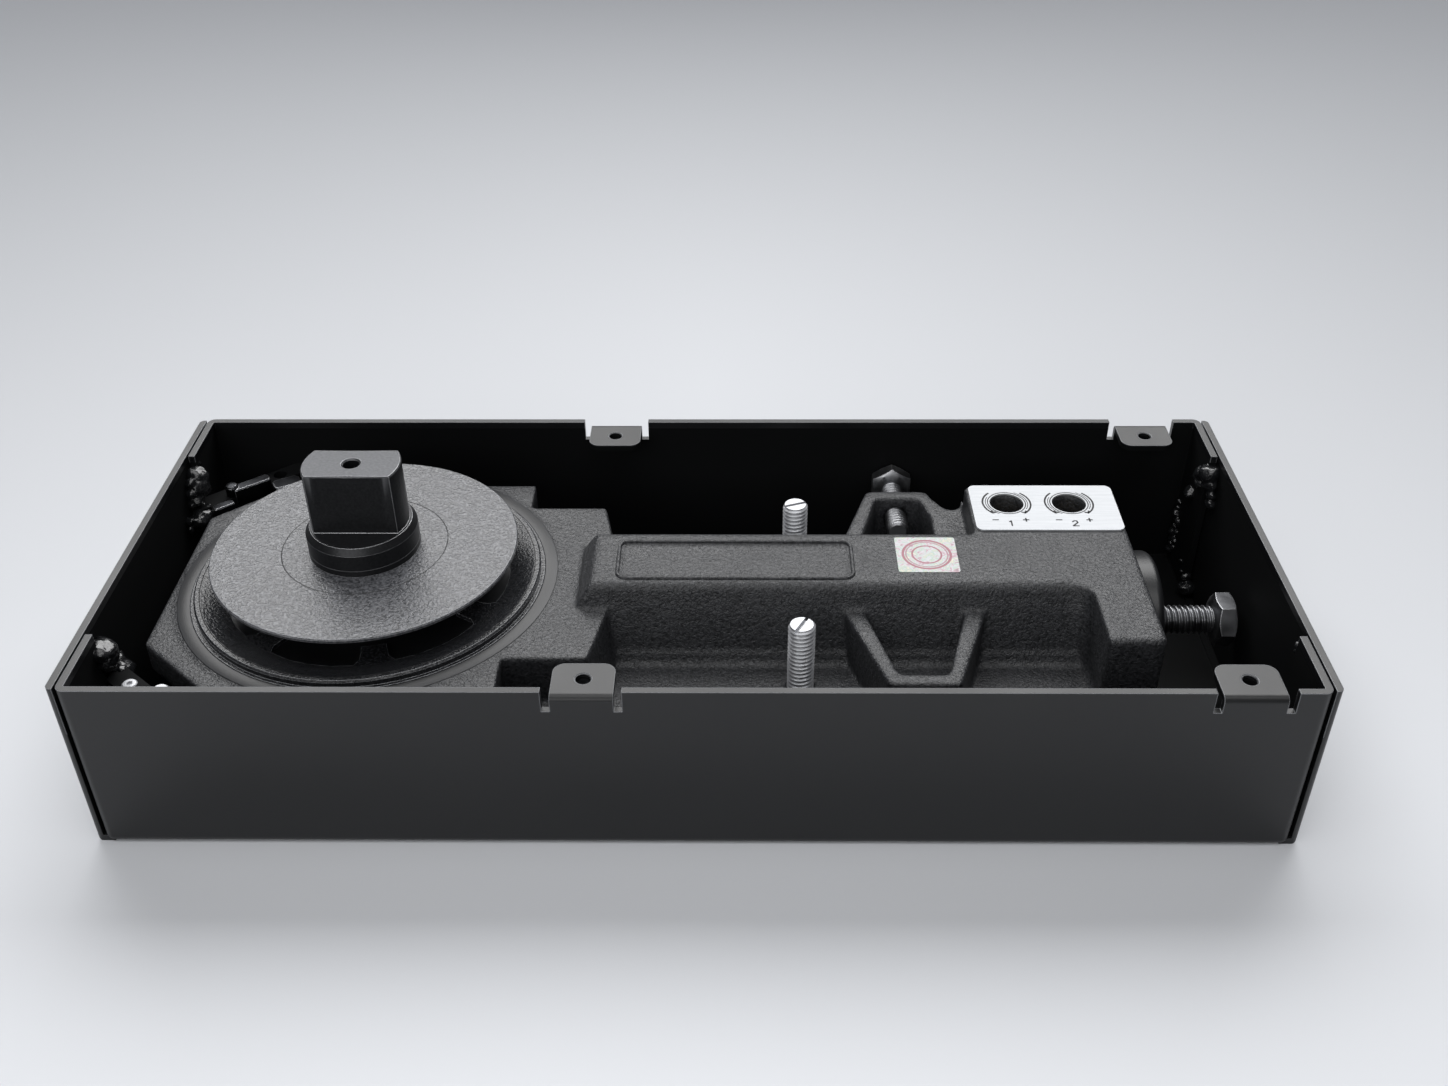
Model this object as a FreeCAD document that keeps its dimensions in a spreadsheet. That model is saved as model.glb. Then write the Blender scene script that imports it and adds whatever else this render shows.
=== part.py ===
# Floor spring door closer in its sheet-steel floor box.
# Frame: origin at the centre of the box's base, +X along its length towards the valve end,
# +Y to its rear wall, +Z up. Millimetres.
import FreeCAD, Part
import math
import os
import re

import Sketcher
from FreeCAD import Vector

doc = FreeCAD.newDocument("floor_spring")

# Driving dimensions: name, value and what it measures
DIMENSIONS = [
    ("case_length", 301.6, "floor box, outside, along X"),
    ("case_width", 123.6, "floor box, outside, along Y"),
    ("case_height", 50.4, "floor box, base to rim"),
    ("sheet", 1.8, "steel sheet of the box"),
    ("sheet_bend", 2.2, "outside radius of the box's bends"),
    ("return_length", 21, "long wall's flange folded round behind the end wall"),
    ("return_gap", 0.6, "gap between that flange and the end wall"),
    ("end_wall_inset", 0.8, "end wall's edges stand back from the long walls' faces"),
    ("end_wall_round", 1.4, "rounded outer edges of the end walls"),
    ("tab_inset", 19.9, "right cover tabs, from the box's right end"),
    ("tab_spacing", 156.6, "between the left and the right cover tabs"),
    ("tab_width", 15, "cover tab, along X"),
    ("tab_slot", 2, "relief slot beside a tab"),
    ("tab_slot_depth", 6, "relief slot, below the rim"),
    ("tab_drop", 1.6, "top of a tab, below the rim"),
    ("tab_reach", 12.3, "tab's free edge, from the long wall's outer face"),
    ("tab_corner", 3, "corner radius of a tab"),
    ("tab_hole_radius", 2.1, "tapped hole for a cover screw"),
    ("tab_hole_inset", 6.8, "that hole, from the long wall's outer face"),
    ("bar_width", 6, "corner bar, across"),
    ("bar_height", 7, "corner bar, tall"),
    ("bar_top", 36, "corner bar's top, above the base"),
    ("bar_rise", 26.6, "corner bar's inner edge, how far it climbs along Y"),
    ("bar_slope", 40, "corner bar's angle to the long walls, in degrees"),
    ("bar_screw_radius", 2, "shank of the screws in a corner bar"),
    ("rear_cap_along", 11.6, "rear cap screw, along its bar from the left end"),
    ("front_cap_along", 8, "front cap screw, along its bar from the left end"),
    ("grub_along", 25, "grub screws, along a bar from its left end"),
    ("rear_cap_radius", 4, "rear cap screw's head"),
    ("front_cap_radius", 3, "front cap screw's head"),
    ("bar_cap_height", 2.4, "cap screw's head"),
    ("front_grub_proud", 8, "front grub screw, above its bar"),
    ("rear_grub_proud", 2, "rear grub screw, above its bar"),
    ("spindle_inset", 62.1, "spindle's axis, from the box's left end"),
    ("end_room", 33.1, "casting's right end face, from the box's right end"),
    ("cylinder_lift", 21.4, "cylinder's axis above the casting's base"),
    ("casting_base_wall", 5, "floor of the spindle chamber"),
    ("flange_lift", 35.5, "head flange's top above the casting's base"),
    ("flange_thickness", 9, "head flange"),
    ("flange_nose", 52.3, "head flange's left edge, from the spindle's axis"),
    ("flange_tip_half", 28.6, "half the length of that edge"),
    ("flange_chamfer", 19, "run of the flange's chamfer along X"),
    ("flange_half", 45.6, "half the flange's width"),
    ("flange_tail", 39.7, "flange's right end, from the spindle's axis"),
    ("neck_half", 34, "half the width of the neck beside the head"),
    ("neck_tail", 61.2, "neck's right end, from the spindle's axis"),
    ("barrel_radius", 50.6, "bearing barrel at its top band"),
    ("barrel_foot_radius", 46.5, "bearing barrel at its foot"),
    ("barrel_draft_height", 22, "height over which the barrel's wall leans"),
    ("band_proud", 0.5, "barrel's top band above the flange"),
    ("seat_radius", 47, "thread for the ring nut"),
    ("seat_lift", 31.6, "bearing cover's shoulder above the casting's base"),
    ("chamber_radius", 41.5, "chamber that the cam turns in"),
    ("ledge_half", 36, "half the width of the casting's foot"),
    ("ledge_lift", 20.9, "foot's top above the casting's base"),
    ("ridge_inset", 56.7, "cylinder ridge's left foot, from the spindle's axis"),
    ("ridge_slope", 4, "run of the ridge's sloping left end"),
    ("ridge_foot_half", 18.3, "half the ridge's width at the foot's top"),
    ("ridge_shoulder_half", 14, "half its width at the flange's level"),
    ("ridge_top_half", 11.8, "half its width at the top"),
    ("ridge_lift", 42.5, "ridge's and blocks' top above the casting's base"),
    ("block_length", 14.7, "end block, along X"),
    ("block_half", 35, "half the end block's width"),
    ("valve_block_length", 42.2, "valve block, along X"),
    ("valve_block_front", 10.5, "valve block's front face, from the centre line"),
    ("ear_inset", 60.5, "side ears and their bolts, from the casting's right end"),
    ("ear_root_half", 19, "half an ear's length at the ridge"),
    ("ear_tip_half", 8.9, "half an ear's length at its bar"),
    ("ear_reach", 43.3, "ear's outer face, from the centre line"),
    ("ear_bar", 4.2, "thickness of an ear's bar"),
    ("ear_root_window", 13.4, "half the ear's window at the ridge"),
    ("ear_tip_window", 6.3, "half the ear's window at its bar"),
    ("ear_lift", 35.2, "ear's top above the casting's base"),
    ("panel_inset", 11.3, "sunk panel's left edge, from the ridge's left foot"),
    ("panel_length", 61.4, "sunk panel, along X"),
    ("panel_front", 9, "sunk panel, front of the centre line"),
    ("panel_rear", 6.8, "sunk panel, rear of the centre line"),
    ("panel_depth", 0.7, "sunk panel"),
    ("bore_radius", 12.5, "cylinder bore"),
    ("bolt_radius", 3.25, "thread of the side bolts"),
    ("bolt_flats", 11.4, "across the flats of their heads"),
    ("bolt_head", 4.4, "height of their heads"),
    ("bolt_gap", 1.1, "head's clearance to the wall that it pushes on"),
    ("side_bolt_lift", 28.2, "side bolts above the casting's base"),
    ("rear_bolt_length", 22.5, "rear side bolt, under its head"),
    ("front_bolt_length", 17, "front side bolt, under its head"),
    ("end_bolt_length", 30, "end bolt, under its head"),
    ("end_bolt_radius", 3.95, "thread of the end bolt"),
    ("end_bolt_flats", 13, "across the flats of its head"),
    ("end_bolt_head", 5.3, "height of its head"),
    ("end_bolt_gap", 2.7, "its head's clearance to the end wall"),
    ("stud_inset", 30.2, "levelling studs, left of the side ears"),
    ("stud_spread", 27.2, "levelling studs, from the centre line"),
    ("stud_radius", 3.3, "levelling stud"),
    ("stud_length", 41.2, "levelling stud"),
    ("slot_width", 1.2, "screwdriver slots"),
    ("slot_depth", 1.5, "screwdriver slots"),
    ("thread_gap", 0.05, "radial running gap of the adjusting threads"),
    ("valve_inset", 14, "latching valve, from the casting's right end"),
    ("valve_pitch", 17.5, "between the two valves"),
    ("valve_rear", 25.2, "both valves, rear of the centre line"),
    ("valve_head_radius", 4.6, "valve screw's head"),
    ("valve_head_bore", 4.75, "counterbore over a valve"),
    ("valve_shank_radius", 3.5, "valve screw's shank"),
    ("valve_port_radius", 1.5, "oil port that the valve's cone closes"),
    ("valve_sink", 5.5, "valve screw's head below the block's top"),
    ("valve_head_height", 8, "valve screw's head"),
    ("valve_shank_height", 16, "valve screw's shank"),
    ("valve_cone_height", 4, "valve screw's cone"),
    ("plate_thickness", 0.5, "valve plate"),
    ("plate_margin", 0.8, "valve plate, inside the block's other edges"),
    ("plate_front_margin", 1.6, "valve plate, inside the block's front edge"),
    ("plate_corner", 2, "valve plate's corners"),
    ("cover_flange", 3, "bearing cover's flange"),
    ("cover_boss_radius", 24, "bearing cover's boss"),
    ("cover_boss_height", 11.6, "bearing cover, shoulder to boss top"),
    ("nut_rim_radius", 46, "ring nut's proud rim"),
    ("nut_height", 3.4, "ring nut"),
    ("nut_thread_height", 1.5, "ring nut's threaded foot"),
    ("nut_rim_flat", 1.8, "flat top of the rim"),
    ("nut_window_radius", 37.6, "outside of the spanner windows"),
    ("nut_web_radius", 30, "inner end of the webs between them"),
    ("nut_dish", 2.2, "rim's top above the webs' inner end"),
    ("nut_windows", 7, "spanner windows round the ring nut"),
    ("nut_web_degrees", 12, "angle that one web takes"),
    ("journal_radius", 14.6, "spindle's upper journal and collar"),
    ("running_gap", 0.05, "radial running gap of journals, bores and seals"),
    ("upper_needle_radius", 1.6, "needle roller of the upper bearing"),
    ("upper_cup_radius", 19.5, "upper bearing's cup, outside"),
    ("upper_bearing_height", 6, "upper bearing"),
    ("upper_needles", 16, "needle rollers in the upper bearing"),
    ("cup_wall", 1.6, "wall of a bearing cup"),
    ("seal_height", 4, "oil seal"),
    ("core_radius", 9.5, "spindle inside the chamber"),
    ("lower_needle_radius", 1.5, "needle roller of the lower bearing"),
    ("lower_bearing_height", 5, "lower bearing"),
    ("lower_needles", 12, "needle rollers in the lower bearing"),
    ("lower_boss_wall", 4.5, "boss round the lower bearing"),
    ("thrust_height", 1, "thrust washer under the spindle"),
    ("core_top", 30.8, "top of the spindle's core, above the casting's base"),
    ("collar_proud", 6.1, "spindle's collar above the dust disc"),
    ("collar_chamfer", 0.4, "collar's chamfer, inward"),
    ("collar_chamfer_rise", 2, "collar's chamfer, upward"),
    ("tongue_height", 17.5, "spindle's flat tongue above its collar"),
    ("tongue_length", 25.4, "flat tongue, along X when the door is shut"),
    ("tongue_width", 12.7, "flat tongue, across"),
    ("tongue_corner", 3.4, "tongue's corner radius"),
    ("tongue_screw_radius", 2.1, "tapped hole in the tongue's top"),
    ("tongue_screw_depth", 15, "that hole's depth"),
    ("disc_top_lift", 46.5, "dust disc's top above the casting's base"),
    ("disc_thickness", 1.4, "dust disc"),
    ("disc_radius", 40.4, "dust disc"),
    ("hub_radius", 21.8, "hub plate of the dust disc"),
    ("cam_valley", 15, "heart cam's radius at its valley"),
    ("cam_rise", 0.07, "cam's rise for each degree"),
    ("cam_thickness", 9.2, "heart cam"),
    ("cam_gap", 0.3, "gap between the cam and its rollers"),
    ("key_width", 5, "key between cam and spindle"),
    ("key_height", 4.4, "that key, radially"),
    ("roller_radius", 6, "cam rollers"),
    ("roller_height", 10, "cam rollers"),
    ("roller_pin_radius", 2.5, "roller pins"),
    ("roller_slack", 0.3, "gap between a roller and each carriage plate"),
    ("carriage_plate", 3.5, "carriage plates"),
    ("carriage_half", 15, "half the carriage's width round the spindle"),
    ("carriage_neck_half", 8, "half its width inside the bore"),
    ("carriage_wide_end", 26, "right end of the wide part, from the spindle's axis"),
    ("carriage_wide_start", 22, "left end of the wide part, from the spindle's axis"),
    ("carriage_slot_gap", 0.6, "gap between the spindle and the carriage's slot"),
    ("carriage_stroke", 9.1, "stroke that the cam gives the piston"),
    ("piston_reach", 48.7, "piston's left face, from the spindle's axis"),
    ("piston_length", 30, "piston"),
    ("piston_tongue", 14, "tongue between the carriage plates"),
    ("piston_tongue_half", 7.5, "half the tongue's width"),
    ("piston_ring_width", 3, "piston ring"),
    ("piston_ring_depth", 2, "piston ring's groove"),
    ("piston_ring_inset", 4, "piston ring, from the piston's right face"),
    ("piston_pin_first", 5, "first piston pin, from the piston's left face"),
    ("piston_pin_pitch", 5.6, "between the piston pins"),
    ("check_bore_radius", 5, "check valve's pocket"),
    ("check_bore_depth", 12, "check valve's pocket"),
    ("check_ball_radius", 3.2, "check valve's ball"),
    ("check_port_radius", 2, "port that the ball closes"),
    ("check_port_depth", 13, "that port, on from the pocket"),
    ("check_plug_height", 4, "check valve's plug"),
    ("spring_wire", 4, "main spring's wire"),
    ("spring_radius", 9.5, "main spring, to the wire's middle"),
    ("spring_turns", 12, "turns of the main spring"),
    ("plug_radius", 19, "end plug's head"),
    ("plug_head", 5.6, "end plug's head"),
    ("plug_round", 2, "end plug's rounded rim"),
    ("plug_spigot", 23.7, "end plug's spigot inside the bore"),
    ("ring_section", 1.1, "section radius of the O-rings"),
    ("cast_round", 1.5, "rounded edges of the casting"),
    ("ridge_round", 3, "rounded top edges of the ridge"),
]

# Places that follow from the sizes, as formulas
PLACES = {
    "half_length": "case_length / 2",
    "half_width": "case_width / 2",
    "tray_end": "half_length - sheet - return_gap",
    "wall_inner": "half_width - sheet",
    "end_inner": "half_length - sheet",
    "tab_top": "case_height - tab_drop",
    "tab_right": "half_length - tab_inset",
    "tab_left": "half_length - tab_inset - tab_spacing",
    "spindle_x": "spindle_inset - half_length",
    "body_end": "half_length - end_room",
    "flange_left": "spindle_x - flange_nose",
    "flange_right": "spindle_x + flange_tail",
    "neck_right": "spindle_x + neck_tail",
    "ridge_left": "spindle_x + ridge_inset",
    "block_left": "body_end - block_length",
    "valve_block_left": "body_end - valve_block_length",
    "ear_centre": "body_end - ear_inset",
    "stud_place": "ear_centre - stud_inset",
    "valve_right": "body_end - valve_inset",
    "valve_left": "body_end - valve_inset - valve_pitch",
    "base": "sheet",
    "axis_height": "base + cylinder_lift",
    "flange_top": "base + flange_lift",
    "ledge_top": "base + ledge_lift",
    "ridge_top": "base + ridge_lift",
    "ear_top": "base + ear_lift",
    "seat_height": "base + seat_lift",
    "band_top": "flange_top + band_proud",
    "chamber_floor": "base + casting_base_wall",
    "side_bolt_height": "base + side_bolt_lift",
    "bolt_hole_radius": "bolt_radius + thread_gap",
    "stud_hole_radius": "stud_radius + thread_gap",
    "disc_top": "base + disc_top_lift",
    "disc_bottom": "disc_top - disc_thickness",
    "collar_top": "disc_top + collar_proud",
    "tongue_base": "collar_top + collar_chamfer_rise",
    "tongue_top": "tongue_base + tongue_height",
    "core_end": "base + core_top",
    "spindle_foot": "chamber_floor + thrust_height",
    "lower_pitch": "core_radius + running_gap + lower_needle_radius",
    "lower_cup_inner": "lower_pitch + lower_needle_radius + running_gap",
    "lower_cup_radius": "lower_cup_inner + cup_wall",
    "lower_boss_radius": "lower_cup_radius + lower_boss_wall",
    "upper_pitch": "journal_radius + running_gap + upper_needle_radius",
    "upper_cup_inner": "upper_pitch + upper_needle_radius + running_gap",
    "cover_top": "seat_height + cover_boss_height",
    "bearing_bottom": "cover_top - seal_height - upper_bearing_height",
    "nut_foot": "seat_height + cover_flange",
    "nut_top": "nut_foot + nut_height",
    "front_roller": "cam_valley + roller_radius",
    "rear_roller": "front_roller + 180 * cam_rise",
    "plate_lower_top": "axis_height - roller_height / 2 - roller_slack",
    "plate_upper_base": "axis_height + roller_height / 2 + roller_slack",
    "carriage_bottom": "plate_lower_top - carriage_plate",
    "carriage_top": "plate_upper_base + carriage_plate",
    "piston_left": "spindle_x + piston_reach",
    "piston_right": "piston_left + piston_length",
    "spigot_end": "body_end - plug_spigot",
    "valve_top": "ridge_top - valve_sink",
    "valve_head_base": "valve_top - valve_head_height",
    "valve_shank_base": "valve_head_base - valve_shank_height",
    "valve_seat": "valve_shank_base - valve_cone_height * 0.65",
    "bar_base": "bar_top - bar_height",
    "bar_left": "-(tray_end - sheet)",
    "bar_foot": "wall_inner - bar_rise",
}

sheet = doc.addObject("Spreadsheet::Sheet", "Sizes")
for row, (alias, value, meaning) in enumerate(DIMENSIONS, start=1):
    sheet.set(f"A{row}", alias)
    sheet.set(f"B{row}", str(value))
    sheet.set(f"C{row}", meaning)
    sheet.setAlias(f"B{row}", alias)
doc.recompute()
workings = doc.addObject("Spreadsheet::Sheet", "Workings")
ALIASES = {alias for alias, value, meaning in DIMENSIONS}


def formula(text):
    """A formula in size names, spelled out for an object's expression."""
    def spell(found):
        word = found.group(0)
        if word in PLACES:
            return "(" + formula(PLACES[word]) + ")"
        return "Sizes." + word if word in ALIASES else word
    return re.sub(r"[a-z][a-z_]*", spell, str(text))


def size(text):
    """The present value of a formula, worked out in a sheet that nothing is bound to."""
    workings.set("A1", "=" + formula(text))
    workings.recompute()
    return float(workings.get("A1"))


def new_body(label):
    body = doc.addObject("PartDesign::Body", label)
    body.Label = label
    return body


def new_sketch(body, plane, place=("0", "0", "0")):
    """A sketch on one of the body's origin planes, with its own origin moved by place.

    place counts in the sketch's directions: XY has x, y, z; XZ has x, z, -y; YZ has y, z, x.
    """
    sketch = body.newObject("Sketcher::SketchObject", "Sketch")
    support = [item for item in body.Origin.OriginFeatures if item.Role == plane + "_Plane"]
    sketch.AttachmentSupport = (support[0], [""])
    sketch.MapMode = "FlatFace"
    for direction, text in zip("xyz", place):
        sketch.setExpression("AttachmentOffset.Base." + direction, formula(text))
    return sketch


def bind(sketch, kind, where, text):
    """A driving constraint whose value follows a formula."""
    index = sketch.addConstraint(Sketcher.Constraint(kind, *where, size(text)))
    sketch.setExpression(f"Constraints[{index}]", formula(text))


def draw_outline(sketch, corners):
    """A closed outline of straight edges through corners given as pairs of formulas."""
    first = sketch.GeometryCount
    points = [Vector(size(x), size(y), 0) for x, y in corners]
    count = len(points)
    for number in range(count):
        line = Part.LineSegment(points[number], points[(number + 1) % count])
        sketch.addGeometry(line, False)
    for number in range(count):
        after = first + (number + 1) % count
        sketch.addConstraint(Sketcher.Constraint("Coincident", first + number, 2, after, 1))
    for number, (x, y) in enumerate(corners):
        bind(sketch, "DistanceX", (-1, 1, first + number, 1), x)
        bind(sketch, "DistanceY", (-1, 1, first + number, 1), y)


def draw_circle(sketch, x, y, radius):
    circle = Part.Circle(Vector(size(x), size(y), 0), Vector(0, 0, 1), size(radius))
    index = sketch.addGeometry(circle, False)
    bind(sketch, "DistanceX", (-1, 1, index, 3), x)
    bind(sketch, "DistanceY", (-1, 1, index, 3), y)
    bind(sketch, "Radius", (index,), radius)


def box_corners(left, right, low, high):
    return [(left, low), (right, low), (right, high), (left, high)]


def mirrored_corners(corners):
    """The same outline on the other side of the sketch's horizontal axis."""
    return [(x, f"-({y})") for x, y in corners]


def pad(body, sketch, length, symmetric=False):
    feature = body.newObject("PartDesign::Pad", "Pad")
    feature.Profile = sketch
    feature.SideType = "Symmetric" if symmetric else "One side"
    feature.setExpression("Length", formula(length))
    doc.recompute()
    return feature


def pocket(body, sketch, length, upward=False, symmetric=False):
    """Cut against the sketch's normal, or along it when upward is true."""
    feature = body.newObject("PartDesign::Pocket", "Pocket")
    feature.Profile = sketch
    feature.SideType = "Symmetric" if symmetric else "One side"
    feature.Reversed = upward
    feature.setExpression("Length", formula(length))
    doc.recompute()
    return feature


def turn(body, sketch, axis, cut=False):
    """A revolution, or a groove when cut is true, about one of the sketch's axes."""
    kind = "Groove" if cut else "Revolution"
    feature = body.newObject("PartDesign::" + kind, kind)
    feature.Profile = sketch
    feature.ReferenceAxis = (sketch, [axis])
    feature.Angle = 360
    doc.recompute()
    return feature


def edge_names(feature, chosen):
    edges = enumerate(feature.Shape.Edges, start=1)
    return [f"Edge{number}" for number, edge in edges if chosen(edge)]


def round_edges(body, feature, radius, chosen):
    names = edge_names(feature, chosen)
    rounded = body.newObject("PartDesign::Fillet", "Fillet")
    rounded.Base = (feature, names)
    rounded.setExpression("Radius", formula(radius))
    doc.recompute()
    return rounded


def is_vertical(edge):
    box = edge.BoundBox
    return box.ZLength > 0.01 and box.XLength < 0.01 and box.YLength < 0.01


def near(value, text, within=0.05):
    return abs(value - size(text)) < within


def at_level(edge, text):
    """Whether a whole edge lies at a height given as a formula."""
    return near(edge.BoundBox.ZMin, text) and near(edge.BoundBox.ZMax, text)


def turned(label, plane, place, axis, corners):
    """A piece turned on a lathe from one outline."""
    body = new_body(label)
    sketch = new_sketch(body, plane, place)
    draw_outline(sketch, corners)
    turn(body, sketch, axis)
    return body


def ring_corners(inner, outer, low, high):
    return box_corners(inner, outer, low, high)


def shape_part(label, shape):
    """A piece whose form only Part's own functions can make."""
    item = doc.addObject("Part::Feature", label)
    item.Shape = shape
    item.Label = label
    return item


nodes = []
SPINDLE_PLACE = ("spindle_x", "0", "0")
BORE_PLACE = ("0", "axis_height", "0")

# Floor box: one folded sheet. The shell is the floor and long walls with their flanges.
case = new_body("case_tray")
sketch = new_sketch(case, "XY")
draw_outline(sketch, box_corners("-tray_end", "tray_end", "-half_width", "half_width"))
shell = pad(case, sketch, "case_height")
shell = round_edges(case, shell, "sheet_bend", lambda edge: not at_level(edge, "case_height"))
top_face = [
    f"Face{number}" for number, face in enumerate(shell.Shape.Faces, start=1)
    if near(face.BoundBox.ZMin, "case_height")
]
hollow = case.newObject("PartDesign::Thickness", "Hollow")
hollow.Base = (shell, top_face)
hollow.Reversed = True
hollow.setExpression("Value", formula("sheet"))
doc.recompute()
sketch = new_sketch(case, "YZ")
RETURN_END = "half_width - return_length"
draw_outline(sketch, box_corners(f"-({RETURN_END})", RETURN_END, "sheet_bend", "case_height + 1"))
pocket(case, sketch, "case_length", symmetric=True)

# End walls, folded up from the floor outside the flanges
for side in ("-", ""):
    sketch = new_sketch(case, "XZ")
    draw_outline(sketch, [
        (f"{side}(tray_end - sheet_bend)", "0"), (f"{side}half_length", "0"),
        (f"{side}half_length", "case_height"), (f"{side}end_inner", "case_height"),
        (f"{side}end_inner", "sheet"), (f"{side}(tray_end - sheet_bend)", "sheet"),
    ])
    case_shape = pad(case, sketch, "case_width - 2 * end_wall_inset", symmetric=True)


def is_end_wall_rim(edge):
    """The end walls' outer edges: the folds at the floor and the upright corners."""
    box = edge.BoundBox
    on_end = near(abs(box.XMin), "half_length") and near(abs(box.XMax), "half_length")
    return on_end and (at_level(edge, "0") or is_vertical(edge))


case_shape = round_edges(case, case_shape, "end_wall_round", is_end_wall_rim)

# Cover tabs: relief slots first, then the tabs bent in below the rim
TAB_PLACES = ("tab_left", "tab_right")
sketch = new_sketch(case, "XZ")
for tab in TAB_PLACES:
    reach = "(tab_width / 2 + tab_slot)"
    draw_outline(sketch, box_corners(
        f"{tab} - {reach}", f"{tab} + {reach}", "case_height - tab_slot_depth", "case_height + 1"))
pocket(case, sketch, "case_width + 2", symmetric=True)
for tab in TAB_PLACES:
    sketch = new_sketch(case, "YZ", ("0", "0", tab))
    outline = [
        ("half_width", "case_height - tab_slot_depth"), ("half_width", "tab_top"),
        ("half_width - tab_reach", "tab_top"), ("half_width - tab_reach", "tab_top - sheet"),
        ("wall_inner", "tab_top - sheet"), ("wall_inner", "case_height - tab_slot_depth"),
    ]
    draw_outline(sketch, outline)
    draw_outline(sketch, [(f"-({y})", z) for y, z in outline])
    case_shape = pad(case, sketch, "tab_width", symmetric=True)
case_shape = round_edges(
    case, case_shape, "sheet_bend - 0.5",
    lambda edge: at_level(edge, "tab_top") and near(abs(edge.BoundBox.YMin), "half_width")
    and near(abs(edge.BoundBox.YMax), "half_width"))
case_shape = round_edges(
    case, case_shape, "tab_corner",
    lambda edge: is_vertical(edge) and near(abs(edge.BoundBox.YMin), "half_width - tab_reach"))
sketch = new_sketch(case, "XY", ("0", "0", "tab_top - sheet - 1"))
for tab in TAB_PLACES:
    for side in ("-", ""):
        draw_circle(sketch, tab, f"{side}(half_width - tab_hole_inset)", "tab_hole_radius")
pocket(case, sketch, "sheet + 2", upward=True)
nodes.append(case)

# Corner bars, welded across the left corners, and the screws in them
RUN = "cos(bar_slope * 1deg)"
CLIMB = "sin(bar_slope * 1deg)"


def bar_point(side, along, across):
    """A point on a corner bar: along it from its left end, and across from its middle line."""
    x = f"bar_left + ({along}) * {RUN} - ({across}) * {CLIMB}"
    y = f"{side}(bar_foot + bar_width / 2 / {RUN} + ({along}) * {CLIMB} + ({across}) * {RUN})"
    return x, y


for name, side in (("rear", ""), ("front", "-")):
    body = new_body(name + "_corner_bar")
    sketch = new_sketch(body, "XY", ("0", "0", "bar_base"))
    slope = f"{CLIMB} / {RUN}"
    rise = f"bar_width / {RUN}"
    foot = "bar_foot"
    draw_outline(sketch, [
        ("bar_left", f"{side}({foot})"),
        (f"bar_left + (wall_inner - {foot}) / ({slope})", f"{side}wall_inner"),
        (f"bar_left + (wall_inner - {foot} - {rise}) / ({slope})", f"{side}wall_inner"),
        ("bar_left", f"{side}({foot} + {rise})"),
    ])
    pad(body, sketch, "bar_height")
    sketch = new_sketch(body, "XY", ("0", "0", "bar_top"))
    for along in (name + "_cap_along", "grub_along"):
        x, y = bar_point(side, along, "0")
        draw_circle(sketch, x, y, "bar_screw_radius")
    pocket(body, sketch, "bar_height")
    nodes.append(body)

    cap = new_body(name + "_cap_screw")
    x, y = bar_point(side, name + "_cap_along", "0")
    cap_radius = name + "_cap_radius"
    sketch = new_sketch(cap, "XZ", (x, "0", f"-({y})"))
    draw_outline(sketch, [
        ("0", "bar_base"), ("bar_screw_radius", "bar_base"), ("bar_screw_radius", "bar_top"),
        (cap_radius, "bar_top"), (cap_radius, "bar_top + bar_cap_height * 0.6"),
        (cap_radius + " * 0.7", "bar_top + bar_cap_height"), ("0", "bar_top + bar_cap_height"),
    ])
    turn(cap, sketch, "V_Axis")
    nodes.append(cap)

    grub = new_body(name + "_grub_screw")
    grub_top = f"(bar_top + {name}_grub_proud)"
    x, y = bar_point(side, "grub_along", "0")
    sketch = new_sketch(grub, "XZ", (x, "0", f"-({y})"))
    draw_outline(sketch, [
        ("0", "bar_base"), ("bar_screw_radius", "bar_base"),
        ("bar_screw_radius", f"{grub_top} - 0.4"), ("bar_screw_radius - 0.4", grub_top),
        ("0", grub_top),
    ])
    turn(grub, sketch, "V_Axis")
    sketch = new_sketch(grub, "XY", (x, y, grub_top))
    draw_outline(sketch, box_corners(
        "-bar_screw_radius - 1", "bar_screw_radius + 1", "-slot_width / 2", "slot_width / 2"))
    pocket(grub, sketch, "slot_depth")
    nodes.append(grub)

# Cast-iron housing: foot, side ears with their windows, then the forms that stand on it
housing = new_body("housing")
sketch = new_sketch(housing, "XY", ("0", "0", "base"))
draw_outline(sketch, box_corners("flange_right", "body_end", "-ledge_half", "ledge_half"))
pad(housing, sketch, "ledge_lift")
ear = [
    ("ear_centre - ear_root_half", "ridge_shoulder_half - 1"),
    ("ear_centre - ear_tip_half", "ear_reach"),
    ("ear_centre + ear_tip_half", "ear_reach"),
    ("ear_centre + ear_root_half", "ridge_shoulder_half - 1"),
]
window = [
    ("ear_centre - ear_root_window", "ridge_shoulder_half - 1"),
    ("ear_centre - ear_tip_window", "ear_reach - ear_bar"),
    ("ear_centre + ear_tip_window", "ear_reach - ear_bar"),
    ("ear_centre + ear_root_window", "ridge_shoulder_half - 1"),
]
sketch = new_sketch(housing, "XY", ("0", "0", "base"))
draw_outline(sketch, ear)
draw_outline(sketch, mirrored_corners(ear))
ears = pad(housing, sketch, "ear_lift")
sketch = new_sketch(housing, "XY", ("0", "0", "ear_top"))
draw_outline(sketch, window)
draw_outline(sketch, mirrored_corners(window))
ears = pocket(housing, sketch, "ear_top - ledge_top")
ears = round_edges(
    housing, ears, "cast_round * 1.3",
    lambda edge: is_vertical(edge) and abs(edge.BoundBox.YMin) > size("ear_reach - ear_bar - 0.1"))
sketch = new_sketch(housing, "XZ")
draw_circle(sketch, "ear_centre", "side_bolt_height", "bolt_hole_radius")
pocket(housing, sketch, "2 * ear_reach + 2", symmetric=True)

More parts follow.
